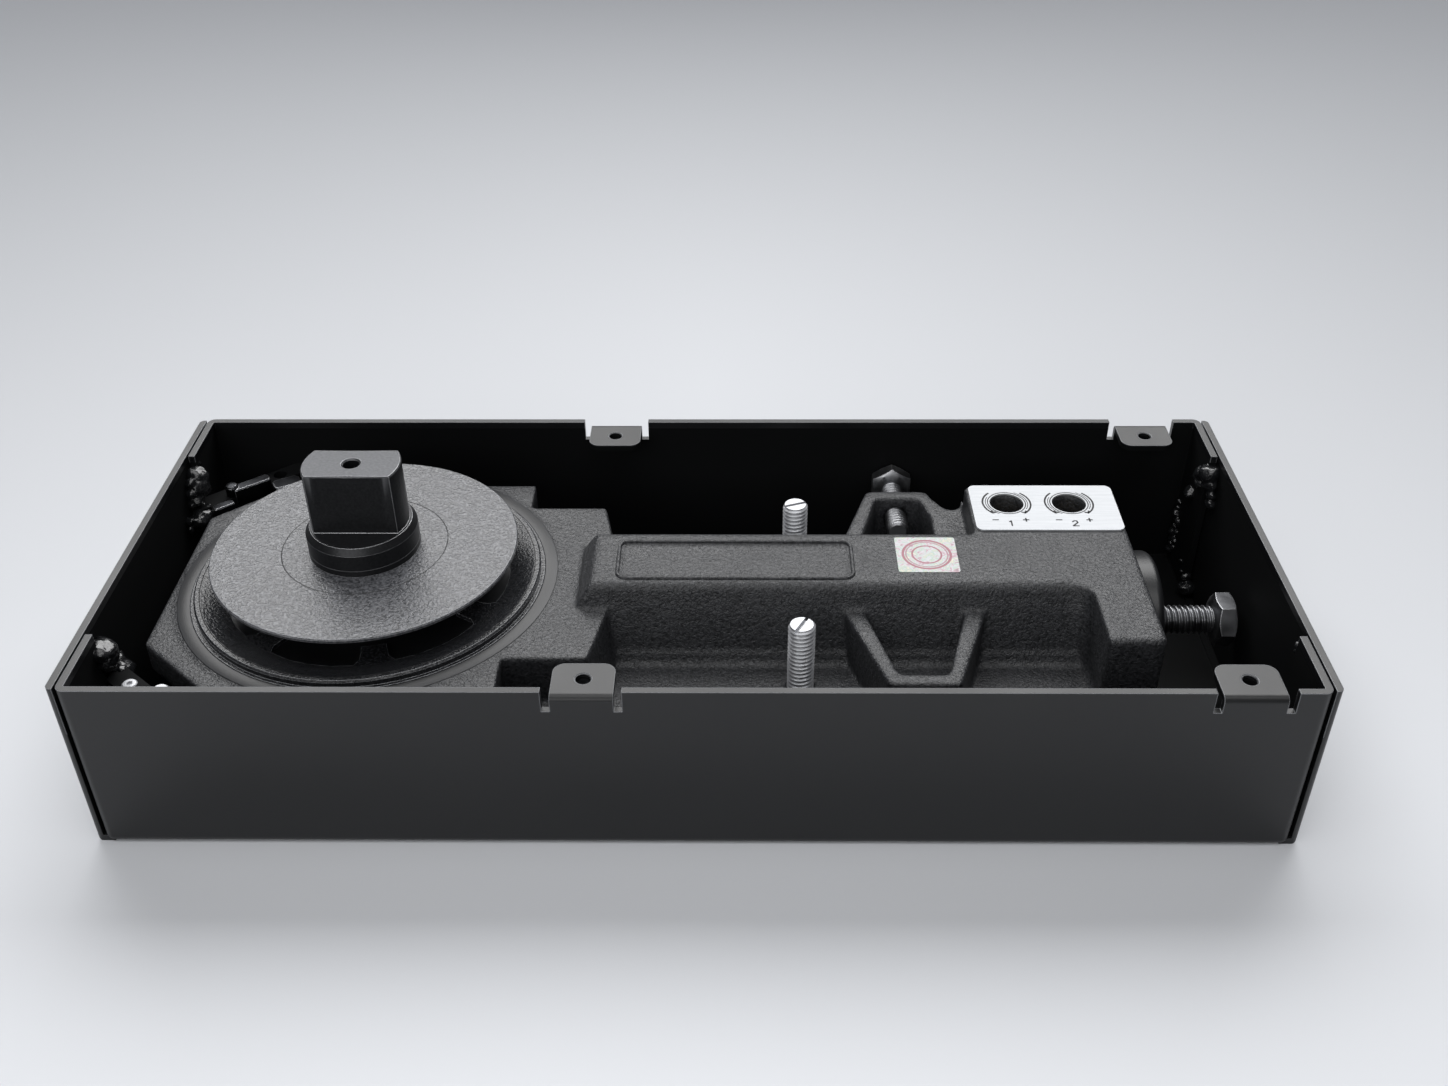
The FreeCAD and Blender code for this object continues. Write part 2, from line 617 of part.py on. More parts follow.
sketch = new_sketch(housing, "XZ", SPINDLE_PLACE)
draw_outline(sketch, [
    ("0", "base"), ("barrel_foot_radius", "base"), ("barrel_radius", "base + barrel_draft_height"),
    ("barrel_radius", "band_top"), ("0", "band_top"),
])
turn(housing, sketch, "V_Axis")

flange = [
    ("flange_left", "-flange_tip_half"), ("flange_left + flange_chamfer", "-flange_half"),
    ("flange_right", "-flange_half"), ("flange_right", "flange_half"),
    ("flange_left + flange_chamfer", "flange_half"), ("flange_left", "flange_tip_half"),
]
sketch = new_sketch(housing, "XY", ("0", "0", "flange_top - flange_thickness"))
draw_outline(sketch, flange)
pad(housing, sketch, "flange_thickness")
sketch = new_sketch(housing, "XY", ("0", "0", "base"))
draw_outline(sketch, box_corners("spindle_x", "neck_right", "-neck_half", "neck_half"))
pad(housing, sketch, "flange_lift")

half_ridge = [
    ("ridge_foot_half", "ledge_top"), ("ridge_shoulder_half", "flange_top"),
    ("ridge_top_half", "ridge_top"),
]
sketch = new_sketch(housing, "YZ", ("0", "0", "ridge_left"))
draw_outline(sketch, [("-ridge_foot_half", "base"), ("ridge_foot_half", "base")] + half_ridge
             + [(f"-{y}", z) for y, z in reversed(half_ridge)])
pad(housing, sketch, "body_end - ridge_left")
sketch = new_sketch(housing, "XZ")
draw_outline(sketch, [
    ("ridge_left - 1", "flange_top"), ("ridge_left", "flange_top"),
    ("ridge_left + ridge_slope", "ridge_top"), ("ridge_left + ridge_slope", "ridge_top + 1"),
    ("ridge_left - 1", "ridge_top + 1"),
])
ridge = pocket(housing, sketch, "2 * ridge_foot_half", symmetric=True)
ridge = round_edges(
    housing, ridge, "ridge_round",
    lambda edge: at_level(edge, "ridge_top") and near(abs(edge.BoundBox.YMin), "ridge_top_half")
    and near(abs(edge.BoundBox.YMax), "ridge_top_half"))

# End block and valve block
for left, front, rear in (("block_left", "-block_half", "block_half"),
                          ("valve_block_left", "valve_block_front", "block_half")):
    sketch = new_sketch(housing, "XY", ("0", "0", "base"))
    draw_outline(sketch, box_corners(left, "body_end", front, rear))
    blocks = pad(housing, sketch, "ridge_lift")


def is_block_rim(edge):
    """The blocks' outer top edges and their free upright corners."""
    box = edge.BoundBox
    if at_level(edge, "ridge_top"):
        along_side = near(abs(box.YMin), "block_half") and box.YLength < 0.01
        across_end = near(box.XMin, "body_end") and box.XLength < 0.01
        return along_side or across_end
    on_side = near(abs(box.YMin), "block_half")
    return is_vertical(edge) and near(box.ZMax, "ridge_top") and on_side


blocks = round_edges(housing, blocks, "cast_round", is_block_rim)

# Chamber, cover seat, lower bearing boss, cylinder bore, sunk panel
sketch = new_sketch(housing, "XZ", SPINDLE_PLACE)
draw_outline(sketch, [
    ("0", "chamber_floor"), ("lower_cup_radius", "chamber_floor"),
    ("lower_cup_radius", "spindle_foot + lower_bearing_height"),
    ("lower_boss_radius", "spindle_foot + lower_bearing_height"),
    ("lower_boss_radius", "chamber_floor"), ("chamber_radius", "chamber_floor"),
    ("chamber_radius", "seat_height"), ("seat_radius", "seat_height"),
    ("seat_radius", "band_top + 1"), ("0", "band_top + 1"),
])
turn(housing, sketch, "V_Axis", cut=True)
sketch = new_sketch(housing, "YZ", ("0", "0", "body_end"))
draw_circle(sketch, "0", "axis_height", "bore_radius")
pocket(housing, sketch, "body_end - spindle_x - chamber_radius * 0.8")
sketch = new_sketch(housing, "XY", ("0", "0", "ridge_top"))
draw_outline(sketch, box_corners("ridge_left + panel_inset",
                                 "ridge_left + panel_inset + panel_length",
                                 "-panel_front", "panel_rear"))
panel = pocket(housing, sketch, "panel_depth")
panel = round_edges(
    housing, panel, "cast_round",
    lambda edge: is_vertical(edge) and near(edge.BoundBox.ZMax, "ridge_top")
    and near(edge.BoundBox.ZLength, "panel_depth"))

# Holes for the levelling studs and the valves
sketch = new_sketch(housing, "XY", ("0", "0", "ledge_top"))
for side in ("-", ""):
    draw_circle(sketch, "stud_place", f"{side}stud_spread", "stud_hole_radius")
pocket(housing, sketch, "ledge_lift")
for radius, top, bottom in (
        ("valve_head_bore", "ridge_top", "valve_head_base - 0.3"),
        ("valve_shank_radius + running_gap", "ridge_top", "valve_seat"),
        ("valve_port_radius", "ridge_top", "chamber_floor")):
    sketch = new_sketch(housing, "XY", ("0", "0", top))
    for valve in ("valve_left", "valve_right"):
        draw_circle(sketch, valve, "valve_rear", radius)
    pocket(housing, sketch, f"{top} - ({bottom})")
nodes.append(housing)

# Bearing cover, pressed down by the ring nut, with seats for the bearing and the seal
nodes.append(turned("bearing_cover", "XZ", SPINDLE_PLACE, "V_Axis", [
    ("journal_radius + 0.6", "seat_height"), ("seat_radius - 3.8", "seat_height"),
    ("seat_radius - 3.8", "seat_height + 2 * ring_section"),
    ("seat_radius - 1.4", "seat_height + 2 * ring_section"), ("seat_radius - 1.4", "seat_height"),
    ("seat_radius - running_gap", "seat_height"), ("seat_radius - running_gap", "nut_foot"),
    ("cover_boss_radius", "nut_foot"), ("cover_boss_radius", "cover_top"),
    ("upper_cup_radius", "cover_top"), ("upper_cup_radius", "bearing_bottom"),
    ("journal_radius + 0.6", "bearing_bottom"),
]))

# Ring nut: threaded foot, proud rim, dished face and seven spanner windows
nut = turned("ring_nut", "XZ", SPINDLE_PLACE, "V_Axis", [
    ("nut_web_radius", "nut_foot"), ("seat_radius - running_gap", "nut_foot"),
    ("seat_radius - running_gap", "nut_foot + nut_thread_height"),
    ("nut_rim_radius", "nut_foot + nut_thread_height"), ("nut_rim_radius", "nut_top - 0.5"),
    ("nut_rim_radius - 0.5", "nut_top"), ("nut_rim_radius - nut_rim_flat", "nut_top"),
    ("nut_window_radius", "nut_top - nut_dish"), ("nut_web_radius", "nut_top - nut_dish"),
])
HALF_WINDOW = "(180 / nut_windows - nut_web_degrees / 2)"


def on_circle(radius, degrees):
    return f"({radius}) * cos({degrees} * 1deg)", f"({radius}) * sin({degrees} * 1deg)"


sketch = new_sketch(nut, "XY", ("spindle_x", "0", "nut_top + 1"))
WINDOW_STEPS = (-1, -0.9, -0.45, 0, 0.45, 0.9, 1)
WINDOW_DEPTHS = (2.5, 0.4, 0, 0, 0, 0.4, 2.5)
window_edge = [
    on_circle(f"nut_window_radius - {depth}", f"({HALF_WINDOW} * {step})")
    for step, depth in zip(WINDOW_STEPS, WINDOW_DEPTHS)
]
draw_outline(sketch, window_edge + [
    on_circle("nut_web_radius - 1", HALF_WINDOW), on_circle("nut_web_radius - 1", f"(-{HALF_WINDOW})"),
])
window_cut = pocket(nut, sketch, "nut_height + 2")
spaced = nut.newObject("PartDesign::PolarPattern", "Windows")
spaced.Originals = [window_cut]
spaced.Axis = (new_sketch(nut, "XY", SPINDLE_PLACE), ["N_Axis"])
spaced.setExpression("Occurrences", formula("nut_windows"))
nut.Tip = spaced
doc.recompute()
nodes.append(nut)

nodes.append(turned("oil_seal", "XZ", SPINDLE_PLACE, "V_Axis", ring_corners(
    "journal_radius + running_gap", "upper_cup_radius", "cover_top - seal_height", "cover_top")))
nodes.append(turned("thrust_washer", "XZ", SPINDLE_PLACE, "V_Axis", [
    ("0", "chamber_floor"), ("core_radius - 0.5", "chamber_floor"),
    ("core_radius - 0.5", "spindle_foot"), ("0", "spindle_foot"),
]))


def needle_bearing(label, cup_inner, cup_outer, pitch, needle, low, height, count):
    """A drawn cup with its needle rollers, which run straight on the shaft."""
    axis = Vector(size("spindle_x"), 0, size(low))
    up = Vector(0, 0, 1)
    tall = size(height)
    cup = Part.makeCylinder(size(cup_outer), tall, axis, up)
    cup = cup.cut(Part.makeCylinder(size(cup_inner), tall, axis, up))
    solids = [cup]
    total = int(size(count))
    for number in range(total):
        angle = 2 * math.pi * number / total
        centre = axis + Vector(math.cos(angle), math.sin(angle), 0) * size(pitch)
        solids.append(Part.makeCylinder(size(needle), tall, centre, up))
    return shape_part(label, Part.makeCompound(solids))


nodes.append(needle_bearing(
    "upper_bearing", "upper_cup_inner", "upper_cup_radius", "upper_pitch", "upper_needle_radius",
    "bearing_bottom", "upper_bearing_height", "upper_needles"))
nodes.append(needle_bearing(
    "lower_bearing", "lower_cup_inner", "lower_cup_radius", "lower_pitch", "lower_needle_radius",
    "spindle_foot", "lower_bearing_height", "lower_needles"))


def o_ring(label, centre, axis, radius, section="ring_section"):
    """An O-ring about a point given as three formulas."""
    ring = doc.addObject("Part::Torus", label)
    ring.Label = label
    ring.setExpression("Radius1", formula(radius))
    ring.setExpression("Radius2", formula(section))
    if axis == "x":
        ring.Placement.Rotation = FreeCAD.Rotation(Vector(0, 1, 0), 90)
    for direction, text in zip("xyz", centre):
        ring.setExpression("Placement.Base." + direction, formula(text))
    nodes.append(ring)


o_ring("cover_o_ring", ("spindle_x", "0", "seat_height + ring_section"), "z", "seat_radius - 2.6")

# End plug: rounded head outside, long spigot inside, tapped for the end bolt
PLUG_FIT = "bore_radius - running_gap"
PLUG_TIP = "body_end + plug_head"
plug = turned("end_plug", "XZ", BORE_PLACE, "H_Axis", [
    ("spigot_end", "0"), ("spigot_end", PLUG_FIT), ("body_end - 9", PLUG_FIT),
    ("body_end - 9", "bore_radius - 2 * ring_section"),
    ("body_end - 9 + 2.4 * ring_section", "bore_radius - 2 * ring_section"),
    ("body_end - 9 + 2.4 * ring_section", PLUG_FIT), ("body_end", PLUG_FIT),
    ("body_end", "plug_radius"), (PLUG_TIP, "plug_radius"), (PLUG_TIP, "0"),
])
round_edges(plug, plug.Tip, "plug_round",
            lambda edge: near(edge.BoundBox.XMin, PLUG_TIP) and near(edge.BoundBox.XMax, PLUG_TIP)
            and edge.BoundBox.YLength > size("plug_radius"))
sketch = new_sketch(plug, "YZ", ("0", "0", PLUG_TIP))
draw_circle(sketch, "0", "axis_height", "end_bolt_radius + thread_gap")
pocket(plug, sketch, "plug_spigot + plug_head - 4")
nodes.append(plug)
o_ring("plug_o_ring", ("body_end - 9 + 1.2 * ring_section", "0", "axis_height"), "x",
       "bore_radius - ring_section")

# Valve plate, thin and bare, lying on the valve block
plate = new_body("valve_plate")
sketch = new_sketch(plate, "XY", ("0", "0", "ridge_top"))
draw_outline(sketch, box_corners("valve_block_left + plate_margin", "body_end - plate_margin",
                                 "valve_block_front + plate_front_margin",
                                 "block_half - plate_margin"))
for valve in ("valve_left", "valve_right"):
    draw_circle(sketch, valve, "valve_rear", "valve_head_bore")
face = pad(plate, sketch, "plate_thickness")
round_edges(plate, face, "plate_corner", is_vertical)
nodes.append(plate)

# Spindle: core in the chamber, journal and collar above, flat tongue with its tapped hole
spindle = new_body("spindle")
sketch = new_sketch(spindle, "XZ", SPINDLE_PLACE)
draw_outline(sketch, [
    ("0", "spindle_foot"), ("core_radius", "spindle_foot"), ("core_radius", "core_end"),
    ("journal_radius", "core_end"), ("journal_radius", "collar_top"),
    ("journal_radius - collar_chamfer", "tongue_base"), ("0", "tongue_base"),
])
turn(spindle, sketch, "V_Axis")
sketch = new_sketch(spindle, "XY", ("spindle_x", "0", "tongue_base"))
draw_outline(sketch, box_corners(
    "-tongue_length / 2", "tongue_length / 2", "-tongue_width / 2", "tongue_width / 2"))
tongue = pad(spindle, sketch, "tongue_height")
tongue = round_edges(spindle, tongue, "tongue_corner",
                     lambda edge: is_vertical(edge) and near(edge.BoundBox.ZMax, "tongue_top"))
chamfer = spindle.newObject("PartDesign::Chamfer", "Chamfer")
chamfer.Base = (tongue, edge_names(tongue, lambda edge: at_level(edge, "tongue_top")))
chamfer.Size = 0.5
doc.recompute()
sketch = new_sketch(spindle, "XY", ("spindle_x", "0", "tongue_top"))
draw_circle(sketch, "0", "0", "tongue_screw_radius")
pocket(spindle, sketch, "tongue_screw_depth")
CAM_BASE = "(axis_height - cam_thickness / 2)"
sketch = new_sketch(spindle, "XY", ("spindle_x", "0", CAM_BASE))
draw_outline(sketch, box_corners(
    "-core_radius - 1", "-core_radius + key_height / 2", "-key_width / 2", "key_width / 2"))
pocket(spindle, sketch, "cam_thickness", upward=True)
nodes.append(spindle)

nodes.append(turned("disc_hub", "XZ", SPINDLE_PLACE, "V_Axis", ring_corners(
    "journal_radius", "hub_radius", "disc_bottom", "disc_top")))
nodes.append(turned("dust_disc", "XZ", SPINDLE_PLACE, "V_Axis", [
    ("hub_radius", "disc_bottom"), ("disc_radius - 0.4", "disc_bottom"),
    ("disc_radius", "disc_bottom + 0.4"), ("disc_radius", "disc_top - 0.3"),
    ("disc_radius - 0.3", "disc_top"), ("hub_radius", "disc_top"),
]))


def heart_cam_face():
    """The cam's outline about its own axis, valley towards +X.

    A roller's centre rises evenly with the angle, and the edge lies one roller radius and a
    gap inside that path, so a roller on each side stays at the cam through the whole turn.
    """
    rise = math.degrees(size("cam_rise"))
    inset = size("roller_radius + cam_gap")
    start = size("front_roller")

    def edge_point(degrees):
        angle = math.radians(degrees)
        path = start + size("cam_rise") * degrees
        lean = angle - math.atan2(rise, path)
        across = Vector(math.cos(lean), math.sin(lean), 0) * inset
        return Vector(math.cos(angle), math.sin(angle), 0) * path - across

    flank = [edge_point(degrees) for degrees in range(0, 178, 6)]
    nose = edge_point(180)
    tip = Vector(nose.x, 0, 0)
    mirrored = [Vector(point.x, -point.y, 0) for point in flank]
    upper = Part.BSplineCurve()
    upper.interpolate(flank + [tip])
    lower = Part.BSplineCurve()
    lower.interpolate([tip] + list(reversed(mirrored)))
    valley = Part.Arc(mirrored[0], Vector(start - inset, 0, 0), flank[0])
    wire = Part.Wire([valley.toShape(), upper.toShape(), lower.toShape()])
    return Part.Face(wire)


def cam_solid():
    cam = heart_cam_face().extrude(Vector(0, 0, size("cam_thickness")))
    bore = Part.makeCylinder(size("core_radius"), size("cam_thickness"))
    width = size("key_width")
    keyway = Part.makeBox(size("core_radius + key_height / 2"), width, size("cam_thickness"),
                          Vector(-size("core_radius + key_height / 2"), -width / 2, 0))
    return cam.cut(bore.fuse(keyway))


cam = shape_part("heart_cam", cam_solid())
cam.Placement.Base = Vector(size("spindle_x"), 0, size(CAM_BASE))
nodes.append(cam)

key = doc.addObject("Part::Box", "cam_key")
key.Label = "cam_key"
key.setExpression("Length", formula("key_height"))
key.setExpression("Width", formula("key_width"))
key.setExpression("Height", formula("cam_thickness"))
for direction, text in zip("xyz", (
        "spindle_x - core_radius - key_height / 2", "-key_width / 2", CAM_BASE)):
    key.setExpression("Placement.Base." + direction, formula(text))
nodes.append(key)

# Carriage: two plates round the spindle, with a roller at each side of the cam
for name, low in (("lower", "carriage_bottom"), ("upper", "plate_upper_base")):
    body = new_body(name + "_carriage_plate")
    sketch = new_sketch(body, "XY", ("spindle_x", "0", low))
    plate_end = "piston_reach - 1"
    draw_outline(sketch, [
        ("-rear_roller - roller_pin_radius * 2", "-carriage_neck_half * 0.6"),
        ("-rear_roller", "-carriage_neck_half"), ("-carriage_wide_start", "-carriage_half"),
        ("carriage_wide_end - 4", "-carriage_half"), ("carriage_wide_end", "-carriage_neck_half"),
        (plate_end, "-carriage_neck_half"), (plate_end, "carriage_neck_half"),
        ("carriage_wide_end", "carriage_neck_half"), ("carriage_wide_end - 4", "carriage_half"),
        ("-carriage_wide_start", "carriage_half"), ("-rear_roller", "carriage_neck_half"),
        ("-rear_roller - roller_pin_radius * 2", "carriage_neck_half * 0.6"),
    ])
    pad(body, sketch, "carriage_plate")
    sketch = new_sketch(body, "XY", ("spindle_x", "0", low))
    slot_half = "(core_radius + carriage_slot_gap)"
    draw_circle(sketch, "0", "0", slot_half)
    pocket(body, sketch, "carriage_plate", upward=True)
    sketch = new_sketch(body, "XY", ("spindle_x", "0", low))
    draw_circle(sketch, "-carriage_stroke", "0", slot_half)
    pocket(body, sketch, "carriage_plate", upward=True)
    sketch = new_sketch(body, "XY", ("spindle_x", "0", low))
    draw_outline(sketch, box_corners("-carriage_stroke", "0", f"-{slot_half}", slot_half))
    pocket(body, sketch, "carriage_plate", upward=True)
    sketch = new_sketch(body, "XY", ("spindle_x", "0", low))
    for place in ("front_roller", "-rear_roller",
                  "piston_reach - piston_pin_first",
                  "piston_reach - piston_pin_first - piston_pin_pitch"):
        draw_circle(sketch, place, "0", "roller_pin_radius")
    pocket(body, sketch, "carriage_plate", upward=True)
    nodes.append(body)

for name, place in (("front", "spindle_x + front_roller"), ("rear", "spindle_x - rear_roller")):
    nodes.append(turned(name + "_cam_roller", "XZ", (place, "0", "0"), "V_Axis", ring_corners(
        "roller_pin_radius + running_gap", "roller_radius",
        "axis_height - roller_height / 2", "axis_height + roller_height / 2")))
    nodes.append(turned(name + "_roller_pin", "XZ", (place, "0", "0"), "V_Axis", ring_corners(
        "0", "roller_pin_radius", "carriage_bottom", "carriage_top")))
for name, back in (("first", "piston_pin_first"), ("second", "piston_pin_first + piston_pin_pitch")):
    place = f"piston_left - ({back})"
    nodes.append(turned(name + "_piston_pin", "XZ", (place, "0", "0"), "V_Axis", ring_corners(
        "0", "roller_pin_radius", "carriage_bottom", "carriage_top")))

# Piston with its tongue, ring groove and check valve
piston = turned("piston", "XZ", BORE_PLACE, "H_Axis", [
    ("piston_left", "0"), ("piston_left", "bore_radius - running_gap"),
    ("piston_right - piston_ring_inset - piston_ring_width", "bore_radius - running_gap"),
    ("piston_right - piston_ring_inset - piston_ring_width", "bore_radius - piston_ring_depth"),
    ("piston_right - piston_ring_inset", "bore_radius - piston_ring_depth"),
    ("piston_right - piston_ring_inset", "bore_radius - running_gap"),
    ("piston_right", "bore_radius - running_gap"), ("piston_right", "0"),
])
sketch = new_sketch(piston, "XY", ("0", "0", "plate_lower_top"))
draw_outline(sketch, box_corners("piston_left - piston_tongue", "piston_left + 1",
                                 "-piston_tongue_half", "piston_tongue_half"))
pad(piston, sketch, "plate_upper_base - plate_lower_top")
sketch = new_sketch(piston, "XY", ("0", "0", "plate_lower_top"))
for back in ("piston_pin_first", "(piston_pin_first + piston_pin_pitch)"):
    draw_circle(sketch, f"piston_left - {back}", "0", "roller_pin_radius")
pocket(piston, sketch, "plate_upper_base - plate_lower_top", upward=True)
for radius, depth in (("check_bore_radius", "check_bore_depth"),
                      ("check_port_radius", "check_bore_depth + check_port_depth")):
    sketch = new_sketch(piston, "YZ", ("0", "0", "piston_right"))
    draw_circle(sketch, "0", "axis_height", radius)
    pocket(piston, sketch, depth)
nodes.append(piston)
nodes.append(turned("piston_ring", "XZ", BORE_PLACE, "H_Axis", box_corners(
    "piston_right - piston_ring_inset - piston_ring_width", "piston_right - piston_ring_inset",
    "bore_radius - piston_ring_depth", "bore_radius - running_gap")))
nodes.append(turned("check_plug", "XZ", BORE_PLACE, "H_Axis", box_corners(
    "piston_right - check_plug_height", "piston_right", "check_port_radius", "check_bore_radius")))
ball = doc.addObject("Part::Sphere", "check_ball")
ball.Label = "check_ball"
ball.setExpression("Radius", formula("check_ball_radius"))
BALL_SEAT = "sqrt(check_ball_radius ^ 2 - check_port_radius ^ 2)"
ball.setExpression("Placement.Base.x", formula(
    f"piston_right - check_bore_depth + {BALL_SEAT} + running_gap"))
ball.setExpression("Placement.Base.z", formula("axis_height"))
nodes.append(ball)

# Main spring: round wire wound from the piston's face to the end plug's spigot
def main_spring_solid():
    wire = size("spring_wire / 2")
    left = size("piston_right") + wire + 0.1
    run = size("spigot_end") - wire - 0.1 - left
    turns = int(size("spring_turns"))
    radius = size("spring_radius")
    helix = Part.makeHelix(run / turns, run, radius)
    lead = math.atan2(run / turns, 2 * math.pi * radius)
    along = Vector(0, math.cos(lead), math.sin(lead))
    section = Part.Wire([Part.makeCircle(wire, Vector(radius, 0, 0), along)])
    coil = Part.Wire(helix.Edges).makePipeShell([section], True, True)
    coil.rotate(Vector(0, 0, 0), Vector(0, 1, 0), 90)
    coil.translate(Vector(left, 0, size("axis_height")))
    return coil


nodes.append(shape_part("main_spring", main_spring_solid()))


# Adjusting bolts: hexagon heads outward, threads in the ears and in the end plug
def adjusting_bolt(label, plane, place, head_face, direction, length, size_name, point_up):
    """A hexagon bolt along a sketch's horizontal axis; direction points from head to tip."""
    body = new_body(label)
    sketch = new_sketch(body, plane, place)
    radius, flats, head_height = (f"{size_name}_{part}" for part in ("radius", "flats", "head"))
    back = "-" if direction == "+" else "+"
    near_face = f"({head_face} {direction} {head_height})"
    tip = f"({near_face} {direction} {length})"
    draw_outline(sketch, [
        (head_face, "0"), (head_face, f"{flats} * 0.46"),
        (f"{near_face} {back} 0.1", f"{flats} * 0.46"), (f"{near_face} {back} 0.1", radius),
        (f"{tip} {back} 0.8", radius), (tip, f"{radius} - 0.8"), (tip, "0"),
    ])
    turn(body, sketch, "H_Axis")
    across = "YZ" if plane == "XZ" else "XZ"
    if across == "YZ":
        flat_place = ("0", place[1], head_face)
    else:
        flat_place = (place[2], place[1], f"-({head_face})")
    sketch = new_sketch(body, across, flat_place)
    turned_by = 90 if point_up else 0
    hexagon = [on_circle(f"{flats} / 2 / cos(30 deg)", turned_by + 60 * step)
               for step in range(6)]
    draw_outline(sketch, hexagon)
    head = body.newObject("PartDesign::Pad", "Head")
    head.Profile = sketch
    head.setExpression("Length", formula(head_height))
    head.Reversed = (direction == "-") == (across == "YZ")
    doc.recompute()
    return body


BOLT_PLACE = ("0", "side_bolt_height", "ear_centre")
REAR_FACE = "(wall_inner - bolt_gap)"
FRONT_FACE = "(-(wall_inner - bolt_gap))"
nodes.append(adjusting_bolt(
    "rear_side_bolt", "YZ", BOLT_PLACE, REAR_FACE, "-", "rear_bolt_length", "bolt", True))
nodes.append(adjusting_bolt(
    "front_side_bolt", "YZ", BOLT_PLACE, FRONT_FACE, "+", "front_bolt_length", "bolt", True))
nodes.append(adjusting_bolt(
    "end_bolt", "XZ", BORE_PLACE, "(end_inner - end_bolt_gap)", "-", "end_bolt_length",
    "end_bolt", False))

# Levelling studs: slotted, standing on the box's floor
for name, side in (("rear", ""), ("front", "-")):
    stud = new_body(name + "_levelling_stud")
    top = "(base + stud_length)"
    sketch = new_sketch(stud, "XZ", ("stud_place", "0", f"-({side}stud_spread)"))
    draw_outline(sketch, [
        ("0", "base"), ("stud_radius - 0.8", "base"), ("stud_radius", "base + 0.8"),
        ("stud_radius", f"{top} - 0.8"), ("stud_radius - 0.8", top), ("0", top),
    ])
    turn(stud, sketch, "V_Axis")
    sketch = new_sketch(stud, "XY", ("stud_place", f"{side}stud_spread", top))
    draw_outline(sketch, box_corners(
        "-stud_radius - 1", "stud_radius + 1", "-slot_width / 2", "slot_width / 2"))
    pocket(stud, sketch, "slot_depth")
    nodes.append(stud)

# Speed valves: slotted head, shank with its O-ring, cone over the port
for name, place in (("closing", "valve_left"), ("latching", "valve_right")):
    valve = new_body(name + "_valve")
    ring_height = "(valve_head_base - 5)"
    sketch = new_sketch(valve, "XZ", (place, "0", "-valve_rear"))
    draw_outline(sketch, [
        ("0", "valve_shank_base - valve_cone_height"), ("0.4", "valve_shank_base - valve_cone_height"),
        ("valve_shank_radius - 0.5", "valve_shank_base"), ("valve_shank_radius", "valve_shank_base + 1"),
        ("valve_shank_radius", f"{ring_height} - 1"), ("valve_shank_radius - 1.4", f"{ring_height} - 1"),
        ("valve_shank_radius - 1.4", f"{ring_height} + 1"), ("valve_shank_radius", f"{ring_height} + 1"),
        ("valve_shank_radius", "valve_head_base"), ("valve_head_radius", "valve_head_base"),
        ("valve_head_radius", "valve_top - 0.5"), ("valve_head_radius - 0.5", "valve_top"),
        ("0", "valve_top"),
    ])
    turn(valve, sketch, "V_Axis")
    sketch = new_sketch(valve, "XY", (place, "valve_rear", "valve_top"))
    draw_outline(sketch, box_corners("-valve_head_radius - 1", "valve_head_radius + 1",
                                     "-slot_width / 2", "slot_width / 2"))
    pocket(valve, sketch, "slot_depth")
    nodes.append(valve)
    o_ring(name + "_valve_o_ring", (place, "valve_rear", ring_height), "z",
           "valve_shank_radius - 0.7", "0.7")

# Check every object, then write one file for each piece
doc.recompute()
for item in doc.Objects:
    if "Invalid" in item.State or "Error" in item.State:
        raise RuntimeError(f"{item.Name} failed: {item.State}")
os.makedirs("parts", exist_ok=True)
for item in nodes:
    shape = item.Shape
    if shape.isNull() or not shape.isValid() or not shape.Solids:
        raise RuntimeError(f"{item.Label} has no sound solid")
    shape.exportStep(os.path.join("parts", item.Label + ".step"))
print(f"{len(nodes)} pieces written")
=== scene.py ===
# Floor spring door closer: the looks, piece by piece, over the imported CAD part.
import math
import random

import bmesh
import bpy
from mathutils import Matrix, Vector, noise


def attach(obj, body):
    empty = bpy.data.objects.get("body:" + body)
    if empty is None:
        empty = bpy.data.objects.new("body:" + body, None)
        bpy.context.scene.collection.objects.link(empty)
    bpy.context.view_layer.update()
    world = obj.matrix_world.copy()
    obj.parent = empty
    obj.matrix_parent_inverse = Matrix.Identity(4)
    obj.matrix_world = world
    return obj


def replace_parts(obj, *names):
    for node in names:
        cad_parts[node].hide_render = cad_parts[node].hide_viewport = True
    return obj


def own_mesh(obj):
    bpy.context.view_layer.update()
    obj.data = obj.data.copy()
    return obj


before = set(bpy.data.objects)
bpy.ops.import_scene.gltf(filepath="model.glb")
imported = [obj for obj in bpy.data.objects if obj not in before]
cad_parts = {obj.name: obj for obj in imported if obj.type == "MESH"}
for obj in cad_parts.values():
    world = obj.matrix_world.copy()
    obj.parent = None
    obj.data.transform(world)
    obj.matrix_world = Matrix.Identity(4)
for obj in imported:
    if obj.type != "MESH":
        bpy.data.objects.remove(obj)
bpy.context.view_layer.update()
MM = 0.001

# Studio. A pale grey sweep under a broad softbox behind and above, which gives the black paint
# its long highlights, with a second box overhead and a weak fill from the front left.
# The two darker greys are painted shade: the sweep darkens far behind the box and towards its
# sides.
STUDIO_GREY = "#e0e2e6"
STUDIO_FAR_SHADE = "#7f8185"
STUDIO_EDGE_SHADE = "#a4a6aa"


def linear(code, alpha=1.0):
    """An sRGB hex colour as linear values."""
    parts = [int(code[place:place + 2], 16) / 255 for place in (1, 3, 5)]
    return [part / 12.92 if part <= 0.04045 else ((part + 0.055) / 1.055) ** 2.4
            for part in parts] + [alpha]


def add(tree, kind, inputs=None, **fields):
    """Adds a shader node. inputs holds a value or another node's output for each socket."""
    node = tree.nodes.new(kind)
    for name, value in fields.items():
        setattr(node, name, value)
    for socket, value in (inputs or {}).items():
        if isinstance(value, bpy.types.NodeSocket):
            tree.links.new(value, node.inputs[socket])
        else:
            node.inputs[socket].default_value = value
    return node


